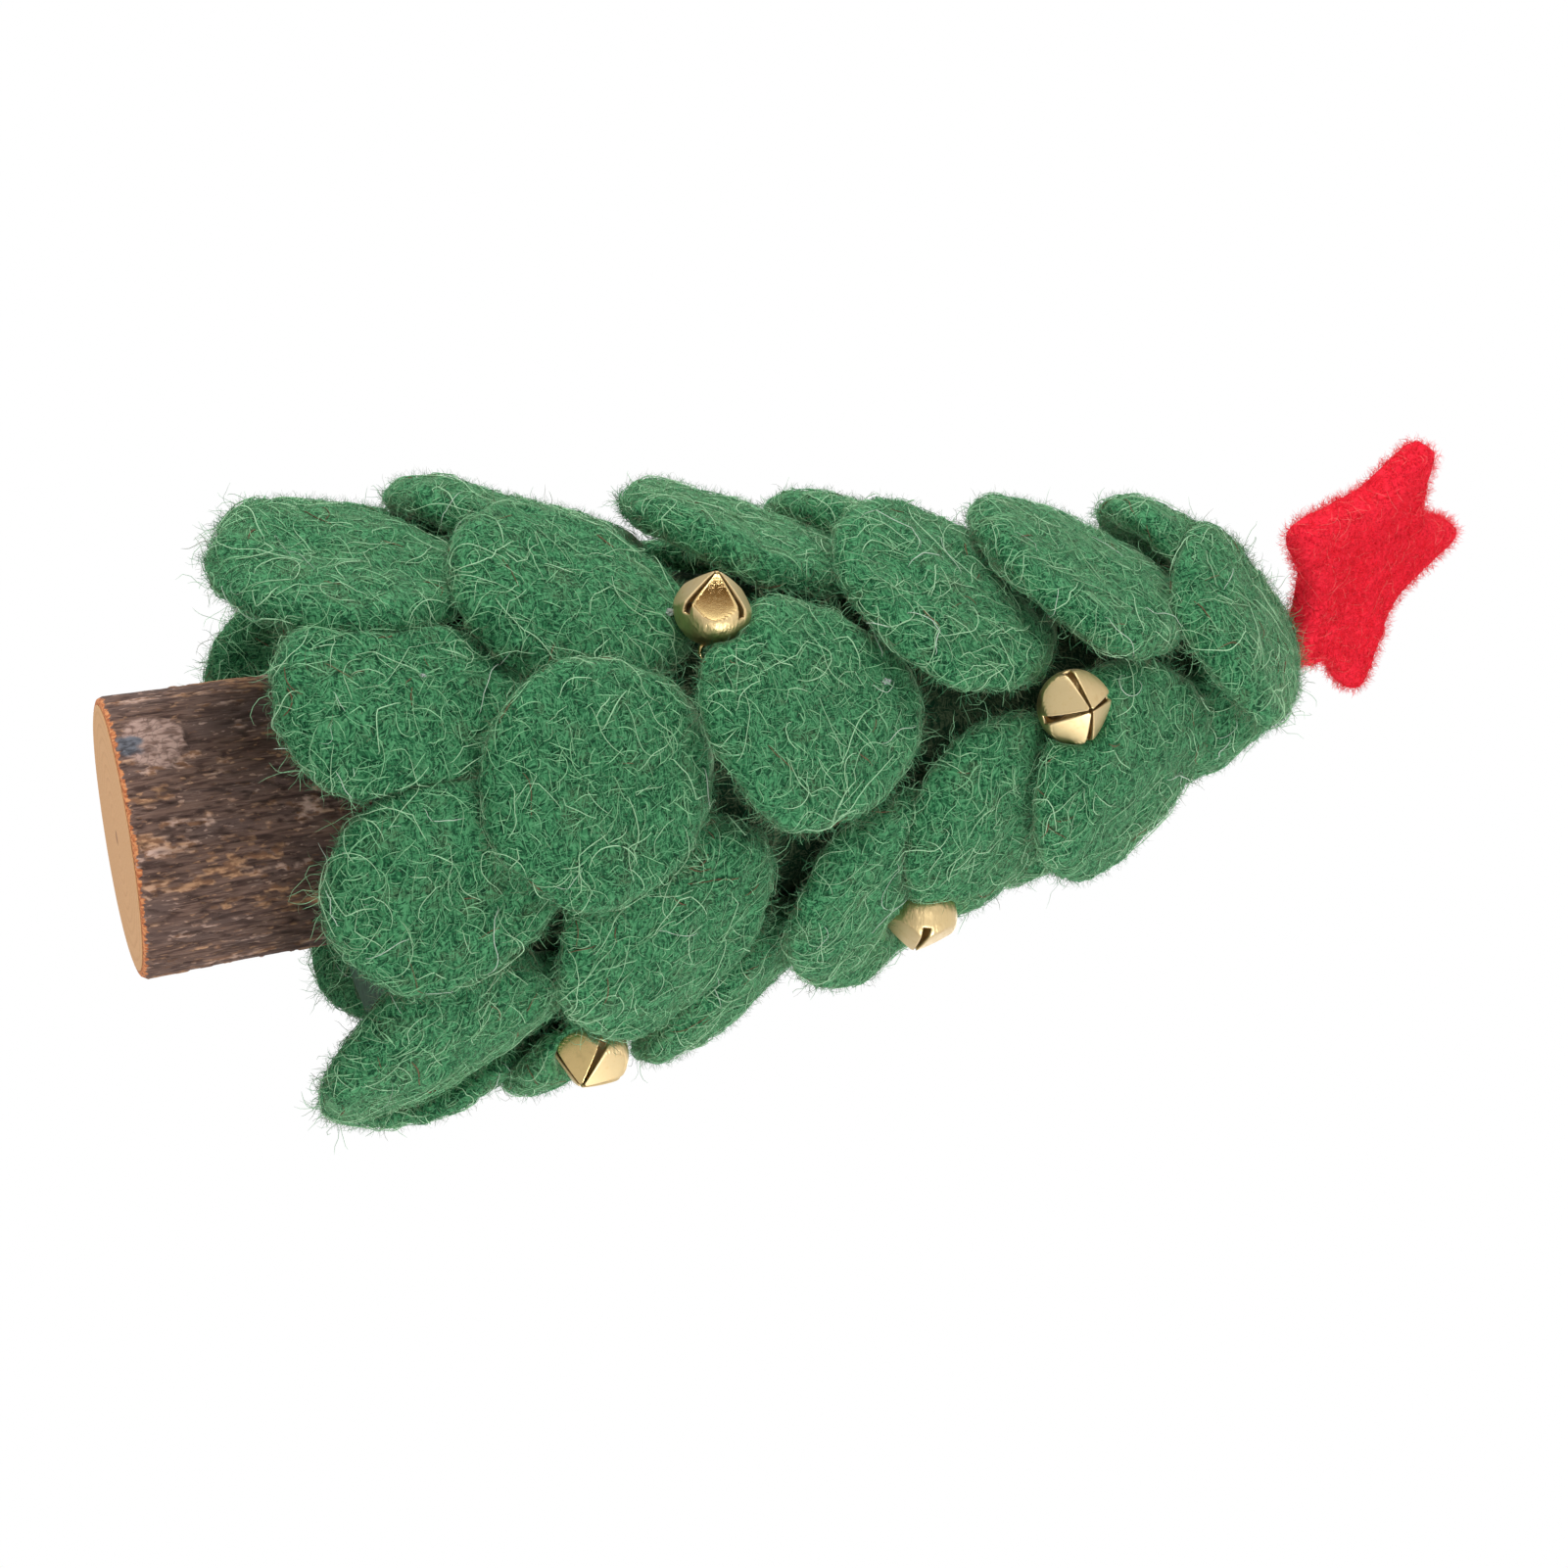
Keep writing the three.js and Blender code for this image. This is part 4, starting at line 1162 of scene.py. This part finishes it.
def add_world(strength):
    """A plain soft light all round, which the camera, metal and glass see as white."""
    world = bpy.data.worlds.new("world")
    world.use_nodes = True
    scene.world = world
    tree = world.node_tree
    plain = tree.nodes["Background"]
    plain.inputs["Strength"].default_value = strength
    plain.inputs["Color"].default_value = (1, 1, 1, 1)
    white = tree.nodes.new("ShaderNodeBackground")
    white.inputs["Color"].default_value = (1, 1, 1, 1)
    path = tree.nodes.new("ShaderNodeLightPath")
    seen = path.outputs["Is Camera Ray"]
    for kind in ("Is Glossy Ray", "Is Transmission Ray"):
        either = tree.nodes.new("ShaderNodeMath")
        either.operation = "MAXIMUM"
        tree.links.new(seen, either.inputs[0])
        tree.links.new(path.outputs[kind], either.inputs[1])
        seen = either.outputs["Value"]
    mix = tree.nodes.new("ShaderNodeMixShader")
    tree.links.new(seen, mix.inputs["Fac"])
    tree.links.new(plain.outputs["Background"], mix.inputs[1])
    tree.links.new(white.outputs["Background"], mix.inputs[2])
    tree.links.new(mix.outputs["Shader"], tree.nodes["World Output"].inputs["Surface"])


def add_stage(mesh, material):
    """A piece of the set, which isn't part of the tree."""
    mesh.materials.append(material)
    piece = bpy.data.objects.new(mesh.name, mesh)
    scene.collection.objects.link(piece)
    return piece


def add_floor():
    """A pale floor that fades out away from the tree. The photograph's camera is just below it, so its
    underside lets the view through. Light reaches the sawn foot through a hole under the trunk, and
    through the floor just round it."""
    columns = 64
    turn = full_turn(columns)
    rings = [
        np.stack([radius * np.cos(turn), radius * np.sin(turn), np.full(columns, floor_level)], -1)
        for radius in (floor_hole, floor_radius)
    ]
    nodes = Nodes("floor")
    material = nodes.finished(Base_Color=floor_white, Roughness=0.8, Specular_IOR_Level=0.2)
    away = nodes.add("ShaderNodeVectorMath", "Value", {0: nodes.place}, operation="LENGTH")
    unseen = nodes.math("SUBTRACT", 1.0, nodes.add("ShaderNodeLightPath", "Is Camera Ray"))
    under = nodes.times(nodes.math("LESS_THAN", away, floor_clear), unseen)
    near, far = floor_fade_shares
    faded = nodes.ramp(away, near * floor_radius, far * floor_radius)
    back = nodes.add("ShaderNodeNewGeometry", "Backfacing")
    clear_share = nodes.math("MAXIMUM", nodes.math("MAXIMUM", faded, under), back)
    clear = nodes.add("ShaderNodeBsdfTransparent", "BSDF")
    parts = {"Fac": clear_share, 1: nodes.shader.outputs["BSDF"], 2: clear}
    mixed = nodes.add("ShaderNodeMixShader", "Shader", parts)
    nodes.feed(nodes.tree.nodes["Material Output"].inputs["Surface"], mixed)
    add_stage(mesh_of("floor", np.concatenate(rings), grid_faces(2, columns)[:, ::-1]), material)


def add_card(name, centre, size, colour):
    """A dark card that only the metal's reflections see."""
    centre = Vector(centre)
    turn = ((cad_low + cad_high) / 2 - centre).to_track_quat("Z", "Y")
    signs = ((-1, -1), (1, -1), (1, 1), (-1, 1))
    corners = [turn @ Vector((x * size, y * size, 0)) + centre for x, y in signs]
    material = Nodes(name).finished(Base_Color=colour, Roughness=1.0, Specular_IOR_Level=0.0)
    card = add_stage(mesh_of(name, np.array(corners, float), np.array([[0, 1, 2, 3]])), material)
    card.visible_camera = False
    card.visible_diffuse = False
    card.visible_shadow = False
    card.visible_transmission = False


# Making the tree

scene.view_settings.view_transform = "Standard"
add_camera()
add_world(world_light)
for lamp in lamps:
    add_lamp(*lamp)
add_floor()
for card in cards:
    add_card(*card)

green_felt = felt_material("green_felt", deep_green, felt_green, light_green, olive_green, sheen_green)
shade_felt = felt_material("shade_felt", deep_green, shade_green, olive_green, olive_green, shade_green)
red_felt = felt_material("red_felt", star_dark, star_red, star_light, star_dark, star_light)
fibre_colours = {name: fibre_material(f"fibre_{name}", tint) for name, tint in fibre_tints.items()}

petal_nodes = sorted(name for name in frame["nodes"] if name.startswith("petal_"))
petal_meshes = [felted(name, felt_voxel) for name in petal_nodes]
for name, mesh in zip(petal_nodes, petal_meshes):
    petal = add_piece(f"{name}_felt", mesh, green_felt, "tree", [name])
wrap_mesh = felted("felt_wrap", wrap_voxel)
wrap = add_piece("felt_wrap_felt", wrap_mesh, shade_felt, "tree", ["felt_wrap"])
star_mesh = notched(felted("felt_star", felt_voxel, star_rounds), star_notch)
star = add_piece("felt_star_felt", star_mesh, red_felt, "tree", ["felt_star"])

# Fibres on the petals. The wrap is part of the felt that they follow, but carries none itself
felt = soup(petal_meshes + [wrap_mesh])
felt_surface = surface_of(felt)
for kind, seeds in shared_out(petal_seeds(total_of(short_kinds)), short_kinds):
    name, colour, _, span, heights, radius, curl, laid = kind
    paths = short_paths(seeds, span, heights, curl, felt_surface if laid else None)
    add_fibres(name, paths, radius, colour)

# Longer strands wander over the petals
for kind, seeds in shared_out(petal_seeds(total_of(long_kinds)), long_kinds):
    name, colour, _, span, height, radius, curl, count, kink = kind
    paths = long_paths(seeds, span, count, felt_surface, height, curl, kink)
    add_fibres(name, paths, radius, colour)

# Hairs stand off the petals' rims, and some of them cross the gaps between the petals
for kind, seeds in shared_out(petal_seeds(rim_density, on_rim), rim_kinds):
    name, colour, _, span, radius = kind
    paths = free_paths(seeds, span, points=6, way=rim_lean * outward_of(seeds[0]), spread=0.45, curl=0.5)
    add_fibres(name, paths, radius, colour)

# Loose hairs at the lower hems
for kind, seeds in shared_out(petal_seeds(hem_density, at_hem), hem_kinds):
    name, colour, _ = kind
    paths = free_paths(seeds, hem_span, points=10, way=hem_way, spread=0.50, curl=0.35)
    add_fibres(name, paths, hem_radius, colour)

# Fibres, hairs and a few strands on the star
star_felt = soup([star_mesh])
for name, colour, density, span, heights, radius, curl in star_kinds:
    paths = short_paths(seeds_on(*star_felt, density), span, heights, curl)
    add_fibres(name, paths, radius, colour)
seeds = seeds_on(*star_felt, star_rim["density"])
paths = free_paths(seeds, star_rim["span"], points=5, way=(0, 0, 0), spread=0.5, curl=0.8)
add_fibres("star_rim", paths, star_rim["radius"], "red")
seeds = seeds_on(*star_felt, star_strand["density"])
star_surface = surface_of(star_felt)
paths = long_paths(seeds, star_strand["span"], 12, star_surface, star_strand["height"], curl=0.35, kink=0.06)
add_fibres("star_strands", eased(paths), star_strand["radius"], "pink")

add_piece("trunk_bark_rough", bark_mesh(), bark_material(), "tree", ["trunk_bark"])
add_piece("trunk_log_sawn", log_mesh(), wood_material(), "tree", ["trunk_log"])
add_bells()
add_glue(felt_surface)
frame["nodes"]["foam_cone"].data.materials[0] = foam_material()
